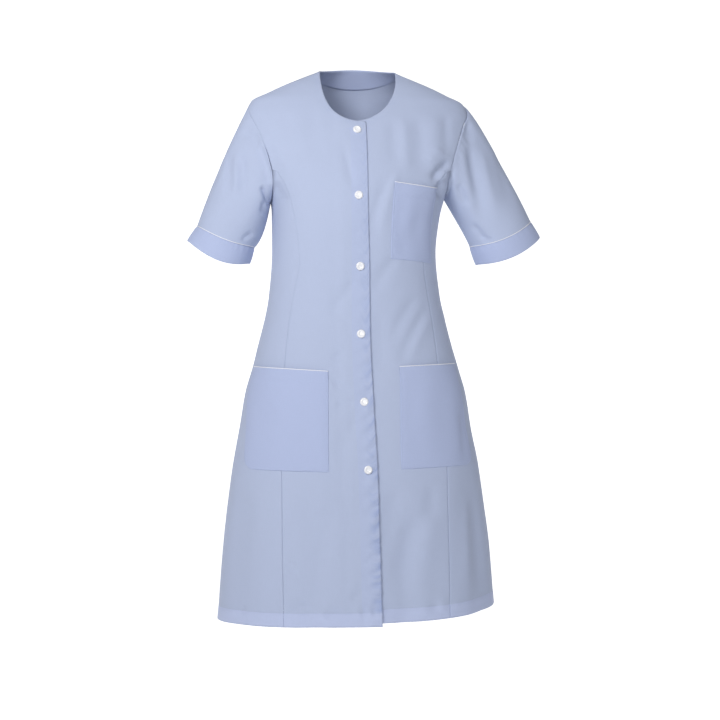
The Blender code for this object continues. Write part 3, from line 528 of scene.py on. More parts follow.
def body_point(angle, height):
    """Places on the smooth body surface with its skirt folds."""
    angle, height = np.broadcast_arrays(np.asarray(angle, float), np.asarray(height, float))
    front_side, across = np.cos(np.radians(angle)), np.sin(np.radians(angle))
    depth = np.where(front_side > 0, BODY.read("front", height), BODY.read("back", height))
    power = BODY.read("squareness", height)
    half_width = BODY.read("half_width", height)
    radius = (np.abs(across / half_width) ** power + np.abs(front_side / depth) ** power) ** (-1 / power)
    for middle, width, deep, top, bottom, lean in SKIRT_FOLDS:
        t = np.clip((top - height) / (top - bottom), 0.0, 1.0)
        reach = ease(t / FOLD_RAMP)
        if bottom > HEM:
            reach = reach * ease((1 - t) / FOLD_RAMP)
        away = (angle - middle - lean * t + 180) % 360 - 180
        radius = radius - deep * reach * bell(away, width)
    around, along = LEFT_UNDERARM_REACH
    lift = LEFT_UNDERARM_LIFT * bell(angle - 90, around) * bell(height - UNDERARM, along)
    x = BODY.read("shift", height) + radius * across
    return np.stack([x, -radius * front_side, height + lift], axis=-1)


def body_normal(angle, height):
    turn, drop = 0.4, 0.0008
    around = body_point(angle + turn, height) - body_point(angle - turn, height)
    up = body_point(angle, height + drop) - body_point(angle, height - drop)
    return unit(np.cross(around, up))


def angle_at(x, height, front=True):
    """The angle of the place on the front or back of the body with this x."""
    half_width = BODY.read("half_width", height)
    power = BODY.read("squareness", height)
    local = np.clip((x - BODY.read("shift", height)) / half_width, -1.0, 1.0)
    depth = BODY.read("front" if front else "back", height)
    y = depth * (1 - np.abs(local) ** power) ** (1 / power)
    angle = np.degrees(np.arctan2(local * half_width, y))
    return angle if front else 180 - angle


def ridge_height(x):
    """The height of the shoulder line at a distance from the middle."""
    heights = np.linspace(CENTRE_BACK_NECK, SHOULDER_TIP, 120)
    return np.interp(np.abs(x), BODY.read("half_width", heights), heights)


def hem_drop(angle, height, side):
    """How far the level moves so that the lowest row follows the hem, which hangs a little unevenly."""
    front = mix(HEM_AT_FRONT[side], HEM_AT_SIDE[side], np.clip(np.abs(angle) / 90, 0, 1) ** HEM_SIDE_POWER)
    back = mix(HEM_AT_SIDE[LEFT], HEM_AT_SIDE[RIGHT], (angle - 90) / 180)
    hem = np.where(np.abs(angle) <= 90, front, back)
    return (hem - HEM) * ease((HEM_SWING_START - height) / (HEM_SWING_START - HEM))


def armhole(front, t):
    """(angle, height) on the left armhole: t is 0 at the shoulder tip, 1 at the pitch and 2 underarm."""
    pitch_angle, pitch_height = FRONT_PITCH if front else BACK_PITCH
    upper = np.clip(t, 0.0, 1.0)
    turn = np.clip(t - 1, 0.0, 1.0) * math.pi / 2
    angle = np.where(
        t <= 1,
        pitch_angle + (90 - pitch_angle) * (1 - upper) ** ARMHOLE_SWEEP,
        90 + (pitch_angle - 90) * np.cos(turn),
    )
    below_tip, below_pitch = mix(SHOULDER_TIP, pitch_height, upper), mix(pitch_height, UNDERARM, np.sin(turn))
    return angle, np.where(t <= 1, below_tip, below_pitch)


def neckline(side, t):
    """(x, height) on the front neckline: t is 0 at the shoulder and 1 at the closing edge."""
    end = CENTRE_FRONT.read("x", CENTRE_FRONT_NECK) - side * LAP_REACH
    power = 2 / NECK_SQUARENESS[side]
    turn = np.clip(t, 0.0, 1.0) * math.pi / 2
    x = mix(end, side * NECK_HALF_WIDTH, np.maximum(np.cos(turn), 0.0) ** power)
    return x, mix(NECK_POINT, CENTRE_FRONT_NECK, np.sin(turn) ** power)


def seam_x(side, height):
    return PRINCESS_SEAM.read("middle", height) + side * PRINCESS_SEAM.read("offset", height)


def lap_lift(x, height):
    """How far the lapping front stands off the body, so that it clears the front under it."""
    centre = CENTRE_FRONT.read("x", height)
    rise = LAP_LIFT * ease((x - centre + LAP_RISE_START) / (LAP_RISE_START - LAP_RISE_END))
    flare = LAP_FLARE_AT_HEM * ease((CENTRE_FRONT_NECK - height) / (CENTRE_FRONT_NECK - HEM))
    return rise + flare * ease((x - centre + LAP_REACH) / (2 * LAP_REACH))


def creases_at(points, creases):
    """How far the creases sink the cloth at these points, each read across the panel as it is seen."""
    depth = np.zeros(points.shape[:-1])
    for x0, z0, x1, z1, width, deep, bow in creases:
        run_x, run_z = x1 - x0, z1 - z0
        length = math.hypot(run_x, run_z)
        px, pz = points[..., 0] - x0, points[..., 2] - z0
        t = (px * run_x + pz * run_z) / length**2
        aside = (px * run_z - pz * run_x) / length - bow * 4 * t * (1 - t)
        fade = ease(t / CREASE_FADES[0]) * ease((1 - t) / CREASE_FADES[1])
        depth += deep * fade * bell(aside, width * mix(*CREASE_TAPER, np.clip(t, 0, 1)))
    return depth


def slack(points):
    """The faint unevenness that worn cloth keeps everywhere, as an outward distance."""
    x, y, z = points[..., 0], points[..., 1], points[..., 2]
    waves = 0.50 * np.sin(41 * x + 9 * z + 1.3 * np.sin(7 * z) + 17 * y)
    waves += 0.36 * np.sin(-63 * x + 14 * z + 2.1 + 1.7 * np.sin(11 * z + 13 * x))
    waves += 0.26 * np.sin(23 * x + 37 * z + 31 * y + 0.7)
    waves += 0.18 * np.sin(97 * x - 21 * z - 55 * y + 4.0)
    return SLACK_DEPTH * waves


def body_relief(angle, height):
    """How far all folds and creases move the cloth outwards at these places on the body."""
    points = body_point(angle, height)
    facing = np.cos(np.radians(angle))
    front = creases_at(points, FRONT_CREASES) * ease((facing + SIDE_OVERLAP) / BODY_BLEND)
    back = creases_at(points, BACK_CREASES) * ease((-facing + SIDE_OVERLAP) / BODY_BLEND)
    return slack(points) - front - back


def spread(count, length, edges):
    """Shares of a length for a lattice's lines, closer together at the named ends, where seams roll in."""
    close = np.array(SEAM_ROWS) / length
    inner = count + 1 - len(close) * (("start" in edges) + ("end" in edges))
    start = np.concatenate([[0.0], close]) if "start" in edges else np.array([0.0])
    end = np.concatenate([1 - close[::-1], [1.0]]) if "end" in edges else np.array([1.0])
    middle = np.linspace(start[-1], end[0], inner)
    return np.concatenate([start[:-1], middle, end[1:]])


def woven(name, columns, rows, cloth_at, wall, finish):
    """A cloth piece: a lattice moved onto its surface. Columns and rows are the shares of its lines, and
    cloth_at turns them into points and normals. Its UV map is in metres along the cloth, across from the
    first column and up from the last row. Returns the object and its grids."""
    lattice = bmesh.new()
    bmesh.ops.create_grid(lattice, x_segments=len(columns) - 1, y_segments=len(rows) - 1, size=0.5)
    lattice.verts.ensure_lookup_table()
    flat = np.array([vert.co[:2] for vert in lattice.verts])
    i = np.rint((flat[:, 0] + 0.5) * (len(columns) - 1)).astype(int)
    j = np.rint((0.5 - flat[:, 1]) * (len(rows) - 1)).astype(int)
    u, v = np.meshgrid(columns, rows)
    points, normals = cloth_at(u, v)
    across, up = spans(points)
    for k, vert in enumerate(lattice.verts):
        vert.co = points[j[k], i[k]]
    weave = lattice.loops.layers.uv.new("weave")
    for face in lattice.faces:
        for loop in face.loops:
            k = loop.vert.index
            loop[weave].uv = (across[j[k], i[k]], up[j[k], i[k]])
    lattice.normal_update()
    facing = 0.0
    for face in lattice.faces:
        k = face.verts[0].index
        facing += face.normal.dot(Vector(normals[j[k], i[k]]))
    if facing < 0:
        bmesh.ops.reverse_faces(lattice, faces=lattice.faces)
    made = solid_from(lattice, name, finish)
    thick = made.modifiers.new("cloth", "SOLIDIFY")
    thick.thickness = wall
    thick.offset = -1.0
    thick.use_even_offset = True
    thick.thickness_clamp = 1.0
    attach(made, "root")
    return made, {"points": points, "normals": normals, "across": across, "up": up}


SINGLE_TINT = (0.448, 0.512, 0.688, 1.0)
SINGLE_SHADE = (0.430, 0.492, 0.668, 1.0)
DOUBLE_TINT = (0.428, 0.494, 0.710, 1.0)
HEM_TINT = (0.484, 0.548, 0.762, 1.0)
# Deep blue of the patches along the lap edge: partly more layers of cloth, partly painted shade of the
# puckers
EDGE_LAYER_AND_SHADE_TINT = (0.325, 0.400, 0.640, 1.0)
EDGE_REACH = 0.020
STRIP_TOP = 0.868
STRIP_SHARE = 0.5
THREAD_PITCH = 0.00052
THREAD_CONTRAST = 0.06
SLUB_SCALES = (900, 60, 1), (60, 900, 1)
SLUB_CONTRAST = 0.05
PATTERN_BASE = 0.915
CLOUD_SCALE = 5.5
SOFT_SCALE = 34.0
EDGE_PATCH_SCALE = (26, 92, 1)
EDGE_PATCH_TURN = 0.45
EDGE_PATCH_TOP = 1.15
EDGE_PATCH_START = 0.44
EDGE_PATCH_GAIN = 5.0
WEAVE_RELIEF = 0.30
SOFT_RELIEF = 1.6
CLOTH_BUMP = {"strength": 0.35, "distance": 0.0006}
CLOTH_ROUGHNESS = 0.78
CLOTH_ROUGHNESS_RANGE = 0.08
CLOTH_SHEEN = {"Sheen Weight": 0.10, "Sheen Roughness": 0.45, "Specular IOR Level": 0.25}


def cloth_finish(name, double_all=False, strip=0.0, hem=0.0):
    """Plain-woven cloth, a lighter grey-blue where it is single and a deeper one where it lies double: all
    over, or in a strip along the first column with uneven darker patches at its edge, which are partly the
    deeper blue of more layers of cloth and partly painted shade of the slanting puckers. The hem is paler."""
    paint = Paint(name)
    place = paint.place()
    weave = paint.add("ShaderNodeUVMap", {"uv_map": "weave"}, {}).outputs["UV"]
    parts = paint.add("ShaderNodeSeparateXYZ", {}, {"Vector": weave})
    across, up = Mask(paint, parts.outputs["X"]), Mask(paint, parts.outputs["Y"])
    warp = paint.maths("SINE", across * (2 * math.pi / THREAD_PITCH))
    weft = paint.maths("SINE", up * (2 * math.pi / THREAD_PITCH))
    threads = warp * weft * 0.5 + 0.5
    slub, slub_across = [paint.stretched_noise(weave, scale, 3.0) for scale in SLUB_SCALES]
    cloudy = paint.noise(place, CLOUD_SCALE, 3.0, 0.55)
    soft = paint.noise(place, SOFT_SCALE, 3.0, 0.5)
    colour = paint.mixed(paint.held(cloudy, 0.9), SINGLE_TINT, SINGLE_SHADE)
    if double_all:
        colour = paint.mixed(1.0, colour, DOUBLE_TINT)
    if strip:
        in_strip = paint.maths("GREATER_THAN", strip, across) * paint.maths("GREATER_THAN", STRIP_TOP, up)
        colour = paint.mixed(in_strip * STRIP_SHARE, colour, DOUBLE_TINT)
        # Darker patches near the lap edge, slanted like the puckers: partly the deeper blue where the cloth
        # lies in more layers, partly painted shade of the puckers
        uneven = paint.stretched_noise(weave, EDGE_PATCH_SCALE, 2.0, EDGE_PATCH_TURN)
        by_edge, low_down = paint.held(1 - across / EDGE_REACH), paint.held(EDGE_PATCH_TOP - up)
        layers = paint.held(uneven - EDGE_PATCH_START, EDGE_PATCH_GAIN) * by_edge * low_down
        colour = paint.mixed(layers, colour, EDGE_LAYER_AND_SHADE_TINT)
    if hem:
        colour = paint.mixed(paint.maths("GREATER_THAN", hem, up), colour, HEM_TINT)
    pattern = threads * THREAD_CONTRAST + (slub + slub_across) * SLUB_CONTRAST + PATTERN_BASE
    grey = paint.add("ShaderNodeCombineColor", {}, {0: pattern, 1: pattern, 2: pattern}).outputs[0]
    colour = paint.mixed(1.0, colour, grey, "MULTIPLY")
    relief = (threads + slub + slub_across) * WEAVE_RELIEF + soft * SOFT_RELIEF
    roughness = CLOTH_ROUGHNESS + (soft - 0.5) * CLOTH_ROUGHNESS_RANGE
    paint.shade({"Base Color": colour, "Roughness": roughness, **CLOTH_SHEEN})
    paint.bump(height=relief, **CLOTH_BUMP)
    return paint.material


def front_place(side, u, v):
    """(angle, height) on a front: u runs from the closing edge to the seam, v from shoulder to hem."""
    in_neck = v < FRONT_NECK_SHARE
    t = np.clip(v / FRONT_NECK_SHARE, 0.0, 1.0)
    below = np.clip((v - FRONT_NECK_SHARE) / (1 - FRONT_NECK_SHARE), 0.0, 1.0)
    neck_x, neck_height = neckline(side, t)
    arm_angle, arm_height = armhole(True, t)
    low_inner = mix(CENTRE_FRONT_NECK, HEM, below)
    low_outer = mix(FRONT_PITCH[1], HEM, below)
    inner_height = np.where(in_neck, neck_height, low_inner)
    outer_height = np.where(in_neck, arm_height, low_outer)
    closing = CENTRE_FRONT.read("x", low_inner) - side * LAP_REACH
    inner_x = np.where(in_neck, neck_x, closing)
    arm_x = body_point(side * arm_angle, arm_height)[..., 0]
    outer_x = np.where(in_neck, arm_x, seam_x(side, low_outer))
    x = mix(inner_x, outer_x, u)
    drop = mix(ridge_height(inner_x) - inner_height, ridge_height(outer_x) - outer_height, u)
    level = mix(inner_height, outer_height, u)
    height = mix(np.where(in_neck, ridge_height(x) - drop, level), level, ease(v / FRONT_NECK_SHARE))
    angle = angle_at(x, height)
    angle = np.where(v == 0, side * 90.0, angle)
    return angle, height + hem_drop(angle, height, side)


def seam_sink(*seams):
    """How far the cloth rolls in towards seams, each given by its sink and its distance."""
    deepest = 0.0
    for sink, distance in seams:
        deepest = np.maximum(deepest, sink * bell(distance, SEAM_ROLL))
    return deepest


def princess_sink(side, height):
    """The princess seam hardly shows in the smooth chest, and rolls in more in the skirt."""
    chest, skirt = PRINCESS_SINK[side]
    high, low = PRINCESS_SINK_HEIGHTS
    return mix(chest, skirt, ease((high - height) / (high - low)))


def hem_relief(points, up):
    """The turned-up hem: a thicker band whose stitch line pulls in, with small uneven puckers across it."""
    along = np.arctan2(points[..., 0], -points[..., 1]) * HEM_GIRTH_RADIUS
    puckers = np.sin(along * 172 + 2.0 * np.sin(along * 31)) * (0.6 + 0.4 * np.sin(along * 47 + 1.0))
    puckers = HEM_PUCKER["depth"] * puckers * bell(up - HEM_DEPTH, HEM_PUCKER["reach"])
    stitch = HEM_STITCH["depth"] * bell(up - HEM_DEPTH, HEM_STITCH["reach"])
    return puckers - stitch + HEM_BAND["depth"] * ease((HEM_DEPTH - up) / HEM_BAND["reach"])


def panel_relief(angle, height, sunk, base, up):
    """Folds, rolled seams and the hem of a body panel."""
    return body_relief(angle, height) - sunk + hem_relief(base, up)


def lap_puckers(x, height):
    """Short slanting puckers along the lap's edge stitching, stronger low down."""
    centre = CENTRE_FRONT.read("x", height)
    inwards = centre + LAP_REACH - x
    high, low = LAP_PUCKER_HEIGHTS
    strength = mix(*LAP_PUCKER_DEPTH, ease((high - height) / (high - low)))
    phase = height * 232 + inwards * 95 + 1.6 * np.sin(height * 37) + 0.9 * np.sin(height * 91)
    return strength * np.sin(phase) * bell(inwards - LAP_PUCKER_PLACE, LAP_PUCKER_REACH)


def front_cloth(side):
    def cloth_at(u, v):
        angle, height = front_place(side, u, v)
        base, normals = body_point(angle, height), body_normal(angle, height)
        across, up = spans(base)
        at_seam = np.where(v < FRONT_NECK_SHARE, ARMHOLE_SINK[side], princess_sink(side, height))
        sunk = seam_sink((at_seam, (1 - u) * across[:, -1:]), (SHOULDER_SINK, v * up[:1]))
        out = panel_relief(angle, height, sunk, base, up)
        if side == RIGHT:
            x = base[..., 0]
            out = out + lap_lift(x, height) + lap_puckers(x, height)
        return base + normals * out[..., None], normals

    return cloth_at


front_finish = cloth_finish("front_cloth", strip=LAP_STRIP, hem=HEM_DEPTH)
fronts = {}
for side in (RIGHT, LEFT):
    name = "front_" + SIDE_NAMES[side]
    columns = spread(FRONT_MESH[0], FRONT_SIZE[0], ("end",))
    rows = spread(FRONT_MESH[1], FRONT_SIZE[1], ("start",))
    cloth, grids = woven(name + "_cloth", columns, rows, front_cloth(side), CLOTH, front_finish)
    fronts[side] = grids
    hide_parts(name)

# ------------------------------------------------------------
# Side fronts: the panels between the princess seams and the side seams, of the same cloth, sewn in from the
# lower armhole to the hem.
SIDE_LEVEL_SHARE = 0.25
SIDE_ROLL_SHARE = 0.35
SIDE_SEAM_SINK = 0.0004
SIDE_MESH = (36, 230)
SIDE_SIZE = (0.12, 0.75)


def side_place(side, u, v):
    """(angle, height) on a side front, whose top edge is the lower armhole."""
    seam_height = mix(FRONT_PITCH[1], HEM, v)
    side_height = mix(UNDERARM, HEM, v)
    seam_angle = np.where(v == 0, side * FRONT_PITCH[0], angle_at(seam_x(side, seam_height), seam_height))
    level = ease(v / SIDE_LEVEL_SHARE)
    turn = u * math.pi / 2
    angle = mix(seam_angle, side * 90.0, mix(1 - np.cos(turn), u, level))
    height = mix(seam_height, side_height, mix(np.sin(turn), u, level))
    return angle, height + hem_drop(angle, height, side)


def side_cloth(side):
    def cloth_at(u, v):
        angle, height = side_place(side, u, v)
        base, normals = body_point(angle, height), body_normal(angle, height)
        across, up = spans(base)
        width = across[:, -1:]
        at_front = (princess_sink(side, height) * SIDE_ROLL_SHARE, u * width)
        at_side = (SIDE_SEAM_SINK, (1 - u) * width)
        sunk = seam_sink(at_front, at_side, (ARMHOLE_SINK[side], v * up[:1]))
        return base + normals * panel_relief(angle, height, sunk, base, up)[..., None], normals

    return cloth_at


panel_finish = cloth_finish("panel_cloth", hem=HEM_DEPTH)
sides = {}
for side in (RIGHT, LEFT):
    name = "side_front_" + SIDE_NAMES[side]
    columns = spread(SIDE_MESH[0], SIDE_SIZE[0], ("start", "end"))
    rows = spread(SIDE_MESH[1], SIDE_SIZE[1], ("start",))
    cloth, grids = woven(name + "_cloth", columns, rows, side_cloth(side), CLOTH, panel_finish)
    sides[side] = grids
    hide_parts(name)

# ------------------------------------------------------------
# Back: one panel of the same cloth from side seam to side seam, with the shoulders and the neck. Two long
# waist darts are sewn into it.
SHOULDER_SHARE = 1 / 3
BACK_ARM_SHARE = 0.24
BACK_NECK_TILT = 0.35
BACK_SPREAD = 0.22
BACK_EDGE_FADE = 0.10
SHOULDER_FADE = 0.01
DART_X = 0.072
DART_TOP = -0.235
DART_END = -0.470
DART_HALF_WIDTH = 0.0022
DART_DEPTH = 0.0011
DART_FADE = 0.1
BACK_MESH = (150, 250)
BACK_SIZE = (0.48, 0.96)


def back_top(share):
    """(angle, height) on the back's top edge: 0 is the shoulder tip, 1 the centre back."""
    tip_x = BODY.read("half_width", SHOULDER_TIP)
    along = np.clip((share - SHOULDER_SHARE) / (1 - SHOULDER_SHARE), 0.0, 1.0)
    shoulder = ridge_height(mix(tip_x, NECK_HALF_WIDTH, share / SHOULDER_SHARE))
    neck = NECK_POINT + (CENTRE_BACK_NECK - NECK_POINT) * np.sin(along * math.pi / 2)
    return mix(90.0, 180.0, along), np.where(share <= SHOULDER_SHARE, shoulder, neck)


def back_place(u, v):
    """(angle, height) on the back, from the left side seam to the right one and from the top to the hem."""
    share = 1 - np.abs(1 - 2 * u)
    t = np.clip(v / BACK_ARM_SHARE, 0.0, 1.0)
    below = np.clip((v - BACK_ARM_SHARE) / (1 - BACK_ARM_SHARE), 0.0, 1.0)
    arm_angle, arm_height = armhole(False, 2 * t)
    outer_angle = np.where(v < BACK_ARM_SHARE, arm_angle, 90.0)
    outer_height = np.where(v < BACK_ARM_SHARE, arm_height, mix(UNDERARM, HEM, below))
    rise = CENTRE_BACK_NECK - SHOULDER_TIP
    centre_underarm = UNDERARM + BACK_NECK_TILT * rise
    centre_height = np.where(
        v < BACK_ARM_SHARE, mix(CENTRE_BACK_NECK, centre_underarm, t), mix(centre_underarm, HEM, below)
    )
    top_angle, top_height = back_top(share)
    height = mix(outer_height, centre_height, (top_height - SHOULDER_TIP) / rise)
    top_x = body_point(top_angle, top_height)[..., 0] - BODY.read("shift", top_height)
    outer_x = body_point(outer_angle, outer_height)[..., 0] - BODY.read("shift", outer_height)
    x = BODY.read("shift", height) + outer_x * top_x / BODY.read("half_width", SHOULDER_TIP)
    height = np.minimum(height, ridge_height(x))
    pitch_share = BACK_ARM_SHARE / 2
    kept = mix(BACK_PITCH[0], 90.0, ease((v - pitch_share) / BACK_SPREAD))
    from_angle = np.where(v > pitch_share, np.maximum(outer_angle, kept), outer_angle)
    from_angle = mix(outer_angle, from_angle, ease(share / BACK_EDGE_FADE))
    by_turn = mix(from_angle, 180.0, share)
    angle = mix(angle_at(x, height, front=False), by_turn, t)
    angle = np.where(v == 0, top_angle, angle)
    height = np.where(v == 0, top_height, height)
    angle = np.where(share == 0, outer_angle, angle)
    height = np.where(share == 0, outer_height, height)
    angle = np.where(u > 0.5, 360 - angle, angle)
    return angle, height + hem_drop(angle, height, LEFT)


def darts(points):
    """How far the two waist darts sink the back along their seams."""
    z = points[..., 2]
    along = np.clip((DART_TOP - z) / (DART_TOP - DART_END), 0.0, 1.0)
    fade = ease(along / DART_FADE) * ease((1 - along) / DART_FADE)
    return DART_DEPTH * fade * bell(np.abs(points[..., 0]) - DART_X, DART_HALF_WIDTH)


def back_cloth(u, v):
    angle, height = back_place(u, v)
    base, normals = body_point(angle, height), body_normal(angle, height)
    across, up = spans(base)
    width = across[:, -1:]
    on_shoulder = 1 - ease(((1 - np.abs(1 - 2 * u)) - SHOULDER_SHARE) / SHOULDER_FADE)
    beside = np.where(v < BACK_ARM_SHARE, ARMHOLE_SINK[LEFT], SIDE_SEAM_SINK)
    at_shoulder = (SHOULDER_SINK * on_shoulder, v * up[:1])
    sunk = seam_sink((beside, u * width), (beside, (1 - u) * width), at_shoulder) + darts(base)
    return base + normals * panel_relief(angle, height, sunk, base, up)[..., None], normals


columns = spread(BACK_MESH[0], BACK_SIZE[0], ("start", "end"))
rows = spread(BACK_MESH[1], BACK_SIZE[1], ("start",))
back, back_grids = woven("back_cloth", columns, rows, back_cloth, CLOTH, panel_finish)
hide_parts("back")

# ------------------------------------------------------------
# Sleeves: short set-in tubes of the same cloth. Each runs from its armhole seam, where the head is eased in,
# to the seam of its cuff.
CUFF_SEAM_RING = {
    LEFT: {"outer": (0.317, -0.263), "inner": (0.206, -0.310), "front_dip": 0.011, "back_dip": -0.004},
    RIGHT: {"outer": (-0.286, -0.277), "inner": (-0.184, -0.314), "front_dip": 0.009, "back_dip": -0.004},
}
CUFF_END_RING = {
    LEFT: {"outer": (0.335, -0.291), "inner": (0.217, -0.343), "front_dip": 0.014, "back_dip": -0.005},
    RIGHT: {"outer": (-0.304, -0.303), "inner": (-0.192, -0.3435), "front_dip": 0.018, "back_dip": -0.005},
}
CUFF_HALF_DEPTH = 0.050
CUFF_SEAM_SINK = 0.0005
ARMHOLE_TURN = 0.35
CUFF_TURN = 0.4
SLEEVE_BOW = {
    LEFT: {"outer": 0.007, "inner": 0.0, "pace": 0.55},
    RIGHT: {"outer": 0.007, "inner": 0.006, "pace": 1.2},
}
SLEEVE_SLACK = 1.2
SLEEVE_BLEND = 0.3
SLEEVE_FADES = (0.04, 0.03)
EASE_IN_DEPTH = 0.0007
EASE_IN_REACH = 0.05
SLEEVE_MESH = (144, 64)
SLEEVE_LENGTH = 0.16

# Creases in the front and the back of each sleeve, in the columns of the front's creases
SLEEVE_CREASES = {
    RIGHT: {
        "front": (
            (-0.216, -0.112, -0.176, -0.146, 0.009, 0.0030, -0.008),
            (-0.186, -0.128, -0.160, -0.226, 0.009, 0.0042, -0.006),
            (-0.207, -0.146, -0.205, -0.236, 0.009, 0.0036, 0.000),
            (-0.228, -0.138, -0.231, -0.245, 0.009, 0.0032, 0.002),
            (-0.218, -0.150, -0.219, -0.230, 0.006, -0.0018, 0.000),
            (-0.176, -0.208, -0.157, -0.244, 0.0045, 0.0062, 0.000),
            (-0.168, -0.232, -0.172, -0.262, 0.005, 0.0030, 0.000),
            (-0.252, -0.150, -0.262, -0.262, 0.013, 0.0022, 0.000),
            (-0.210, -0.306, -0.184, -0.288, 0.005, 0.0026, 0.000),
        ),
        "back": (
            (-0.180, -0.120, -0.170, -0.232, 0.010, 0.0036, 0.006),
            (-0.214, -0.130, -0.222, -0.262, 0.012, 0.0036, 0.004),
            (-0.245, -0.160, -0.250, -0.270, 0.010, 0.0024, 0.000),
            (-0.196, -0.240, -0.206, -0.300, 0.008, 0.0022, 0.000),
        ),
    },
    LEFT: {
        "front": (
            (0.190, -0.066, 0.200, -0.135, 0.009, 0.0034, 0.000),
            (0.196, -0.108, 0.229, -0.290, 0.011, 0.0046, 0.005),
            (0.182, -0.130, 0.204, -0.235, 0.009, -0.0020, 0.004),
            (0.222, -0.130, 0.250, -0.270, 0.010, -0.0022, 0.004),
            (0.252, -0.130, 0.276, -0.255, 0.013, 0.0024, 0.000),
            (0.160, -0.162, 0.150, -0.232, 0.009, 0.0056, 0.000),
            (0.172, -0.200, 0.196, -0.244, 0.007, 0.0034, 0.000),
            (0.200, -0.268, 0.226, -0.300, 0.006, 0.0030, 0.000),
            (0.214, -0.292, 0.240, -0.304, 0.005, 0.0026, 0.000),
        ),
        "back": (
            (0.186, -0.110, 0.176, -0.232, 0.010, 0.0036, -0.006),
            (0.220, -0.125, 0.240, -0.262, 0.012, 0.0036, 0.004),
            (0.256, -0.150, 0.272, -0.258, 0.010, 0.0024, 0.000),
            (0.206, -0.240, 0.222, -0.296, 0.008, 0.0022, 0.000),
        ),
    },
}


def cuff_ring(side, rings, turns):
    """Points of a sleeve ring at these angles, 0 at its outer side and pi at its inner side."""
    ring = rings[side]
    outer = np.array([ring["outer"][0], 0.0, ring["outer"][1]])
    inner = np.array([ring["inner"][0], 0.0, ring["inner"][1]])
    over_front = np.sin(turns)[..., None]
    dip = np.where(over_front > 0, ring["front_dip"], ring["back_dip"])
    ring_points = (outer + inner) / 2 + (outer - inner) / 2 * np.cos(turns)[..., None]
    sideways = np.concatenate([0 * over_front, -CUFF_HALF_DEPTH * over_front, -dip * over_front**2], axis=-1)
    return ring_points + sideways


def two_runs(middle, end, count):
    """Even steps from 0 to the middle value in half of the places, and on to the end in the rest."""
    half = count // 2
    return np.concatenate([np.linspace(0, middle, half + 1), np.linspace(middle, end, count - half + 1)[1:]])


class ArmholeSeam:
    """The seam between body and sleeve at evenly spaced places round it, from the tip over the front."""

    def __init__(self, side, count):
        self.side = side
        fine = np.linspace(0, 2, 400)
        front_angle, front_height = armhole(True, fine)
        back_angle, back_height = armhole(False, fine[::-1])
        angles = np.concatenate([front_angle, back_angle[1:]])
        heights = np.concatenate([front_height, back_height[1:]])
        steps = run_of(body_point(side * angles, heights))
        wanted = two_runs(steps[len(fine) - 1], steps[-1], count)
        self.turns = two_runs(math.pi, 2 * math.pi, count)
        places = np.interp(wanted, steps, side * angles), np.interp(wanted, steps, heights)
        self.points = body_point(*places)
        normals = body_normal(*places)
        closed = np.vstack([self.points[-2:-1], self.points, self.points[1:2]])
        tangents = unit(closed[2:] - closed[:-2])
        away = np.cross(normals, tangents) * side
        self.seam_ring = cuff_ring(side, CUFF_SEAM_RING, self.turns)
        self.end_ring = cuff_ring(side, CUFF_END_RING, self.turns)
        reach = self.seam_ring - self.points
        turn = (ARMHOLE_TURN * np.abs(np.sin(self.turns)))[:, None]
        start = unit(mix(unit(reach), away, turn))
        self.starts = start * np.linalg.norm(reach, axis=1, keepdims=True)
        self.finish = unit(self.end_ring - self.seam_ring)


def ring_normals(grid, side):
    """Outward directions of a closed tube, rows along it and columns round it, the last one on the first."""
    ring = grid[:, :-1]
    around = np.roll(ring, -1, axis=1) - np.roll(ring, 1, axis=1)
    normals = unit(np.cross(around, np.gradient(ring, axis=0)) * side)
    return np.concatenate([normals, normals[:, :1]], axis=1)


def sleeve_cloth(hole):
    def cloth_at(u, v):
        t = v[..., None]
        lengths = np.linalg.norm(hole.seam_ring - hole.points, axis=1, keepdims=True)
        base = (
            hole.points * (1 + 2 * t) * (1 - t) ** 2
            + hole.starts * t * (1 - t) ** 2
            + hole.seam_ring * t * t * (3 - 2 * t)
            - hole.finish * lengths * CUFF_TURN * t * t * (1 - t)
        )
        normals = ring_normals(base, hole.side)
        bow = SLEEVE_BOW[hole.side]
        way_round = np.cos(hole.turns)[None, :]
        reach = np.where(way_round > 0, bow["outer"], bow["inner"]) * way_round**2
        base = base + normals * (reach * np.sin(math.pi * v ** bow["pace"]))[..., None]
        normals = ring_normals(base, hole.side)
        over_front = np.sin(hole.turns)[None, :]
        creases = SLEEVE_CREASES[hole.side]
        out = slack(base) * SLEEVE_SLACK
        out = out - creases_at(base, creases["front"]) * ease((SIDE_OVERLAP + over_front) / SLEEVE_BLEND)
        out = out - creases_at(base, creases["back"]) * ease((SIDE_OVERLAP - over_front) / SLEEVE_BLEND)
        eased_in = np.sin(hole.turns * 26 + 2 * np.sin(hole.turns * 5)) * ease(np.cos(hole.turns) + 0.6)
        out = out + EASE_IN_DEPTH * eased_in * np.exp(-v / EASE_IN_REACH)
        at_cuff = (CUFF_SEAM_SINK, (1 - v) * lengths[:, 0])
        edge = seam_sink((ARMHOLE_SINK[hole.side], v * lengths[:, 0]), at_cuff)
        out = out * ease(v / SLEEVE_FADES[0]) * ease((1 - v) / SLEEVE_FADES[1]) - edge
        return base + normals * out[..., None], normals

    return cloth_at


sleeve_finish = cloth_finish("sleeve_cloth")
holes = {side: ArmholeSeam(side, SLEEVE_MESH[0]) for side in (RIGHT, LEFT)}
for side in (RIGHT, LEFT):
    name = "sleeve_" + SIDE_NAMES[side]
    columns = np.linspace(0.0, 1.0, SLEEVE_MESH[0] + 1)
    rows = spread(SLEEVE_MESH[1], SLEEVE_LENGTH, ("start", "end"))
    cloth, _ = woven(name + "_cloth", columns, rows, sleeve_cloth(holes[side]), CLOTH, sleeve_finish)
    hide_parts(name)

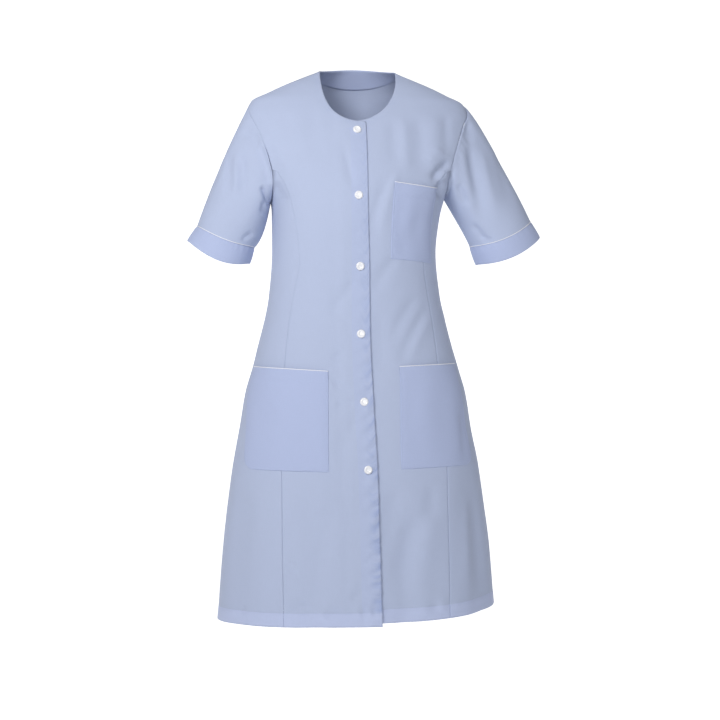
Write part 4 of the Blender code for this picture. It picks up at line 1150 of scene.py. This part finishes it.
# ------------------------------------------------------------
# Cuffs: bands of double cloth at the sleeve ends, with a white corded piping caught in the seam above each.
DOUBLE_CLOTH = 0.0009
CUFF_PUFF = 0.0008
CUFF_SLACK = 0.6
CUFF_START = 0.6
CUFF_PUCKER = {"depth": 0.00035, "place": 0.12, "reach": 0.16}
CUFF_MESH_ROWS = 16
CUFF_LENGTH = 0.03
PIPING_RADIUS = 0.00078
PIPING_SEAM = 0.0013
PIPING_TINTS = (0.74, 0.76, 0.84, 1.0), (0.86, 0.88, 0.94, 1.0)
PIPING_FUZZ_SCALE = 900.0
PIPING_ROUGHNESS = 0.65
PIPING_BUMP = {"strength": 0.4, "distance": 0.0003}


def cuff_cloth(hole):
    def cloth_at(u, v):
        t = v[..., None]
        base = mix(hole.seam_ring + hole.finish * PIPING_SEAM * CUFF_START, hole.end_ring, t)
        normals = ring_normals(base, hole.side)
        length = np.linalg.norm(hole.end_ring - hole.seam_ring, axis=1)
        puff = CUFF_PUFF * np.sin(math.pi * v) + slack(base) * CUFF_SLACK
        puckers = np.sin(hole.turns * 34 + 3 * np.sin(hole.turns * 4))
        puckers = CUFF_PUCKER["depth"] * puckers * bell(v - CUFF_PUCKER["place"], CUFF_PUCKER["reach"])
        rolled = seam_sink((CUFF_SEAM_SINK, v * length), (CUFF_SEAM_SINK, (1 - v) * length))
        out = puff + puckers - rolled
        return base + normals * out[..., None], normals

    return cloth_at


def white_piping():
    paint = Paint("piping_cord")
    fuzz = paint.noise(paint.place(), PIPING_FUZZ_SCALE, 3.0)
    paint.shade({"Base Color": paint.mixed(fuzz, *PIPING_TINTS), "Roughness": PIPING_ROUGHNESS})
    paint.bump(height=fuzz, **PIPING_BUMP)
    return paint.material


piping_finish = white_piping()


def piping(name, points, closed, node):
    """A round corded piping through these points."""
    line = bpy.data.curves.new(name, "CURVE")
    line.dimensions = "3D"
    line.bevel_depth = PIPING_RADIUS
    line.bevel_resolution = 2
    line.use_fill_caps = True
    spline = line.splines.new("POLY")
    spline.points.add(len(points) - 1)
    for target, point in zip(spline.points, points):
        target.co = (*point, 1.0)
    spline.use_cyclic_u = closed
    line.materials.append(piping_finish)
    made = bpy.data.objects.new(name, line)
    bpy.context.scene.collection.objects.link(made)
    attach(made, "root")
    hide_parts(node)


double_finish = cloth_finish("double_cloth", double_all=True)
for side in (RIGHT, LEFT):
    hole = holes[side]
    name = "cuff_" + SIDE_NAMES[side]
    columns = np.linspace(0.0, 1.0, SLEEVE_MESH[0] + 1)
    rows = spread(CUFF_MESH_ROWS, CUFF_LENGTH, ("start", "end"))
    cloth, _ = woven(name + "_cloth", columns, rows, cuff_cloth(hole), DOUBLE_CLOTH, double_finish)
    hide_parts(name)
    node = "cuff_piping_" + SIDE_NAMES[side]
    piping(node + "_cord", hole.seam_ring[:-1], True, node)

# ------------------------------------------------------------
# Pockets: three patch pockets of double cloth, topstitched on, with white piping along their mouths. The hip
# pockets reach over the princess seams almost to the side seams and have round lower outer corners.
POCKET_LINE = Table(
    ("left", "right"),
    (
        (-0.184, 0.0680, 0.0640),
        (-0.208, 0.0630, 0.0620),
        (-0.340, 0.0545, 0.0580),
        (-0.430, 0.0620, 0.0585),
        (-0.530, 0.0650, 0.0590),
        (-0.705, 0.0576, 0.0664),
        (-0.975, 0.0570, 0.0680),
    ),
)
POCKET_SIDE_LINE = Table(
    ("left", "right"),
    (
        (-0.490, 0.45, 0.76),
        (-0.530, 0.46, 0.77),
        (-0.650, 0.49, 0.60),
        (-0.702, 0.50, 0.55),
        (-0.800, 0.50, 0.52),
    ),
)
CHEST_SIDE_LINE = Table(("share",), ((-0.208, 0.05), (-0.270, 0.15), (-0.345, 0.27)))
POCKETS = {
    "hip_pocket_right": {"side": RIGHT, "top": (-0.535, -0.527), "bottom": (-0.706, -0.704), "corner": 0.022},
    "hip_pocket_left": {"side": LEFT, "top": (-0.527, -0.522), "bottom": (-0.702, -0.699), "corner": 0.022},
    "chest_pocket": {"side": LEFT, "top": (-0.208, -0.2165), "bottom": (-0.340, -0.345), "corner": 0.0},
}
POCKET_MESH = (44, 60)
POCKET_SIZE = (0.12, 0.17)
PATCH_LIFT = 0.0010
PATCH_SAG = 0.0011
PATCH_RIPPLE = 0.0005
MOUTH_GAPE = 0.0022
MOUTH_GAPE_REACH = 0.032
MOUTH_BAND = 0.018
MOUTH_BAND_RISE = {"depth": 0.0004, "reach": 0.0012}
MOUTH_CORNER = {"depth": 0.0010, "reach": 0.012, "below": 0.006}
POCKET_STITCH_IN = 0.0035
POCKET_STITCH = {"depth": 0.0005, "reach": 0.0016}
POCKET_EDGE = {"depth": 0.0006, "reach": 0.0011}
PIPING_RAISE = 0.7


def pocket_angle(size, share, height, hip):
    """The angle of a pocket's column: the same share between its inner and outer lines at every height."""
    side = size["side"]
    line = CENTRE_FRONT.read("x", height) + side * POCKET_LINE.read(SIDE_NAMES[side], height)
    seam = angle_at(seam_x(side, height), height)
    if hip:
        over_seam = POCKET_SIDE_LINE.read(SIDE_NAMES[side], height)
    else:
        over_seam = CHEST_SIDE_LINE.read("share", height)
    return mix(angle_at(line, height), mix(seam, side * 90.0, over_seam), share)


def pocket_cloth(name):
    size = POCKETS[name]
    hip = size["corner"] > 0

    def cloth_at(u, v):
        top, bottom = mix(*size["top"], u), mix(*size["bottom"], u)
        height = mix(top, bottom, v)
        angle = pocket_angle(size, u, height, hip)
        if hip:
            above = np.clip((1 - v) * (top - bottom), 0.0, size["corner"])
            reach = size["corner"] - above
            inset = size["corner"] - np.sqrt(np.maximum(size["corner"] ** 2 - reach**2, 0.0))
            radius = np.linalg.norm(body_point(angle, height)[..., :2], axis=-1)
            angle = angle - size["side"] * np.degrees(inset / radius) * u
        base, normals = body_point(angle, height), body_normal(angle, height)
        below = v * (top - bottom)
        width = spans(base)[0][:, -1:]
        edges = u * width, (1 - u) * width, (1 - v) * (top - bottom)
        gape = MOUTH_GAPE * np.sin(math.pi * u) ** 0.7 * (1 - ease(below / MOUTH_GAPE_REACH))
        sag = PATCH_SAG * np.sin(math.pi * u) * np.sin(math.pi * v) ** 0.6
        ripple = PATCH_RIPPLE * np.sin(u * 15 + 1.2 * np.sin(v * 3) + size["side"]) * np.sin(math.pi * v)
        band = MOUTH_BAND_RISE["depth"] * ease((MOUTH_BAND - below) / MOUTH_BAND_RISE["reach"])
        corner = bell(u * width, MOUTH_CORNER["reach"]) * bell(below / MOUTH_CORNER["below"] - 1, 1.0)
        grooves = sum(bell(edge - POCKET_STITCH_IN, POCKET_STITCH["reach"]) for edge in edges)
        out = body_relief(angle, height) + PATCH_LIFT + gape + sag + ripple + band
        out = out + MOUTH_CORNER["depth"] * corner - POCKET_STITCH["depth"] * np.clip(grooves, 0.0, 1.0)
        out = out - POCKET_EDGE["depth"] * bell(np.minimum.reduce(edges), POCKET_EDGE["reach"])
        return base + normals * out[..., None], normals

    return cloth_at


pocket_grids = {}
for name, size in POCKETS.items():
    columns = spread(POCKET_MESH[0], POCKET_SIZE[0], ("start", "end"))
    rows = spread(POCKET_MESH[1], POCKET_SIZE[1], ("start", "end"))
    cloth, grids = woven(name + "_cloth", columns, rows, pocket_cloth(name), DOUBLE_CLOTH, double_finish)
    pocket_grids[name] = grids
    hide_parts(name)
    mouth = grids["points"][0].copy()
    mouth[:, 2] += PIPING_RADIUS * PIPING_RAISE
    piping(name + "_piping_cord", mouth, False, name + "_piping")

# ------------------------------------------------------------
# Back-neck facing: the shaped band of the same cloth that backs the neck edge inside and shows through the
# neck opening. It stands off the back a little more at the wearer's right.
FACING_LOW = -0.0175
FACING_LOW_AT_ENDS = -0.006
FACING_IN = 0.965
FACING_LIFT = 0.0012
FACING_CLOSE = 0.0003
FACING_LIFT_START = 0.3
FACING_BOW = 0.0004
FACING_MESH = (90, 12)


def facing_cloth(u, v):
    share = mix(SHOULDER_SHARE, 1.0, 1 - np.abs(1 - 2 * u))
    top_angle, top_height = back_top(share)
    low_x = body_point(top_angle, top_height)[..., 0] * FACING_IN
    low_height = mix(FACING_LOW, FACING_LOW_AT_ENDS, (low_x / NECK_HALF_WIDTH) ** 2)
    angle = mix(top_angle, angle_at(low_x, low_height, front=False), v)
    height = mix(top_height, low_height, v)
    angle = np.where(u > 0.5, 360 - angle, angle)
    base, normals = body_point(angle, height), body_normal(angle, height)
    to_left = np.where(u < 0.5, low_x, -low_x) / NECK_HALF_WIDTH
    lift = FACING_CLOSE + FACING_LIFT * ease(FACING_LIFT_START - to_left)
    out = body_relief(angle, height) - CLOTH - lift - FACING_BOW * np.sin(math.pi * v)
    return base + normals * out[..., None], -normals


columns = np.linspace(0.0, 1.0, FACING_MESH[0] + 1)
rows = np.linspace(0.0, 1.0, FACING_MESH[1] + 1)
facing, _ = woven("back_neck_facing_cloth", columns, rows, facing_cloth, CLOTH, double_finish)
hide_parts("back_neck_facing")

# ------------------------------------------------------------
# Snaps: six glossy white moulded caps with a raised ring, each pressed through the lap on a prong ring.
SNAP_HEIGHTS = (-0.1144, -0.2315, -0.3534, -0.4702, -0.5869, -0.7025)
SNAP_PROFILE = (
    # distance from the middle, height over the cloth, from the crown down to the base
    (0.0000, 0.00205),
    (0.0022, 0.00200),
    (0.0036, 0.00215),
    (0.0043, 0.00285),
    (0.0050, 0.00300),
    (0.0058, 0.00270),
    (0.0067, 0.00180),
    (0.0074, 0.00090),
    (0.0073, 0.00020),
    (0.0068, 0.00000),
)
SNAP_STEPS = 48
SNAP_SEAT = 0.0002
SNAP_TINTS = (0.80, 0.81, 0.85, 1.0), (0.88, 0.89, 0.92, 1.0)
SNAP_WEAR_SCALE = 420.0
SNAP_ROUGHNESS = 0.20
SNAP_ROUGHNESS_RANGE = 0.14
SNAP_COAT = 0.4
SNAP_BUMP = {"strength": 0.08, "distance": 0.0002}


def snap_finish():
    paint = Paint("snap_plastic")
    wear = paint.noise(paint.place(), SNAP_WEAR_SCALE, 4.0)
    roughness = wear * SNAP_ROUGHNESS_RANGE + SNAP_ROUGHNESS
    paint.shade({"Base Color": paint.mixed(wear, *SNAP_TINTS), "Roughness": roughness})
    paint.shade({"Coat Weight": SNAP_COAT})
    paint.bump(height=wear, **SNAP_BUMP)
    return paint.material


snap_plastic = snap_finish()
for number, height in enumerate(SNAP_HEIGHTS, start=1):
    x = CENTRE_FRONT.read("x", height)
    angle = angle_at(x, height)
    normal = body_normal(angle, height)
    lift = body_relief(angle, height) + lap_lift(x, height) + SNAP_SEAT
    seat = body_point(angle, height) + normal * lift
    cap = bmesh.new()
    profile = [cap.verts.new((r, 0.0, z)) for r, z in SNAP_PROFILE]
    edges = [cap.edges.new(pair) for pair in zip(profile, profile[1:])]
    bmesh.ops.spin(
        cap,
        geom=profile + edges,
        cent=(0, 0, 0),
        axis=(0, 0, 1),
        angle=2 * math.pi,
        steps=SNAP_STEPS,
        use_merge=True,
    )
    bmesh.ops.remove_doubles(cap, verts=cap.verts, dist=0.00002)
    bmesh.ops.holes_fill(cap, edges=cap.edges, sides=0)
    bmesh.ops.recalc_face_normals(cap, faces=cap.faces)
    turn = Vector(normal).to_track_quat("Z", "Y").to_matrix().to_4x4()
    bmesh.ops.transform(cap, matrix=Matrix.Translation(Vector(seat)) @ turn, verts=cap.verts)
    snap = solid_from(cap, f"snap_{number}_cap", snap_plastic)
    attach(snap, "root")
    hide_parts(f"snap_{number}")

# ------------------------------------------------------------
# Sewing: rows of lockstitch in matching thread along the hem, the lapping front's closing edge, and the
# sides and lower edges of the pockets.
STITCH_PITCH = 0.0030
STITCH_LENGTH = 0.0023
STITCH_RADIUS = 0.00021
STITCH_RISE = 0.7
LAP_STITCH_IN = 0.006
LAP_STITCH_START = 0.004
THREAD_TINTS = (0.42, 0.49, 0.69, 1.0), (0.55, 0.61, 0.78, 1.0)
THREAD_TWIST_SCALE = 2600.0
THREAD_ROUGHNESS = 0.55


def thread_finish():
    paint = Paint("sewing_thread")
    twist = paint.noise(paint.place(), THREAD_TWIST_SCALE, 1.0)
    paint.shade({"Base Color": paint.mixed(twist, *THREAD_TINTS), "Roughness": THREAD_ROUGHNESS})
    return paint.material


thread = thread_finish()


def line_across(grids, up):
    """Points and normals along a piece at this distance above its last row."""
    rows = np.arange(grids["up"].shape[0])
    picked, facing = [], []
    for k in range(grids["up"].shape[1]):
        row = np.interp(up, grids["up"][::-1, k], rows[::-1])
        low = min(int(row), len(rows) - 2)
        picked.append(mix(grids["points"][low, k], grids["points"][low + 1, k], row - low))
        facing.append(grids["normals"][low, k])
    return np.array(picked), np.array(facing)


def line_down(grids, across, start=0.0):
    """Points and normals down a piece at this distance from its first column, or its last one if below 0."""
    columns = np.arange(grids["across"].shape[1])
    picked, facing = [], []
    for k in range(grids["across"].shape[0]):
        width = grids["across"][k]
        column = np.interp(across if across >= 0 else width[-1] + across, width, columns)
        low = min(int(column), len(columns) - 2)
        if grids["up"][0, low] - grids["up"][k, low] >= start:
            picked.append(mix(grids["points"][k, low], grids["points"][k, low + 1], column - low))
            facing.append(grids["normals"][k, low])
    return np.array(picked), np.array(facing)


def read_along(values, steps, distance):
    """The value of each column at a distance along a line."""
    return np.array([np.interp(distance, steps, column) for column in values.T])


def stitching(name, lines):
    """One mesh of stitches laid along these lines."""
    seams = bmesh.new()
    for points, normals in lines:
        steps = run_of(points)
        for start in np.arange(STITCH_PITCH / 2, steps[-1] - STITCH_LENGTH, STITCH_PITCH):
            first, second = [read_along(points, steps, s) for s in (start, start + STITCH_LENGTH)]
            normal = Vector(read_along(normals, steps, start)).normalized()
            run = Vector(second - first)
            side_way = run.normalized().cross(normal)
            turn = Matrix((side_way, normal, -run.normalized())).transposed().to_4x4()
            middle = Vector((first + second) / 2) + normal * STITCH_RADIUS * STITCH_RISE
            size = Matrix.Diagonal((STITCH_RADIUS, STITCH_RADIUS, run.length / 2, 1.0))
            place = Matrix.Translation(middle) @ turn @ size
            bmesh.ops.create_uvsphere(seams, u_segments=6, v_segments=4, radius=1.0, matrix=place)
    bmesh.ops.recalc_face_normals(seams, faces=seams.faces)
    made = solid_from(seams, name, thread)
    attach(made, "root")


hem_lines = [line_across(grids, HEM_DEPTH) for grids in (*fronts.values(), *sides.values(), back_grids)]
stitching("hem_stitching", hem_lines)
stitching("lap_stitching", [line_down(fronts[RIGHT], LAP_STITCH_IN, LAP_STITCH_START)])
for name, grids in pocket_grids.items():
    lines = [line_down(grids, inset) for inset in (POCKET_STITCH_IN, -POCKET_STITCH_IN)]
    stitching(name + "_stitching", [*lines, line_across(grids, POCKET_STITCH_IN)])
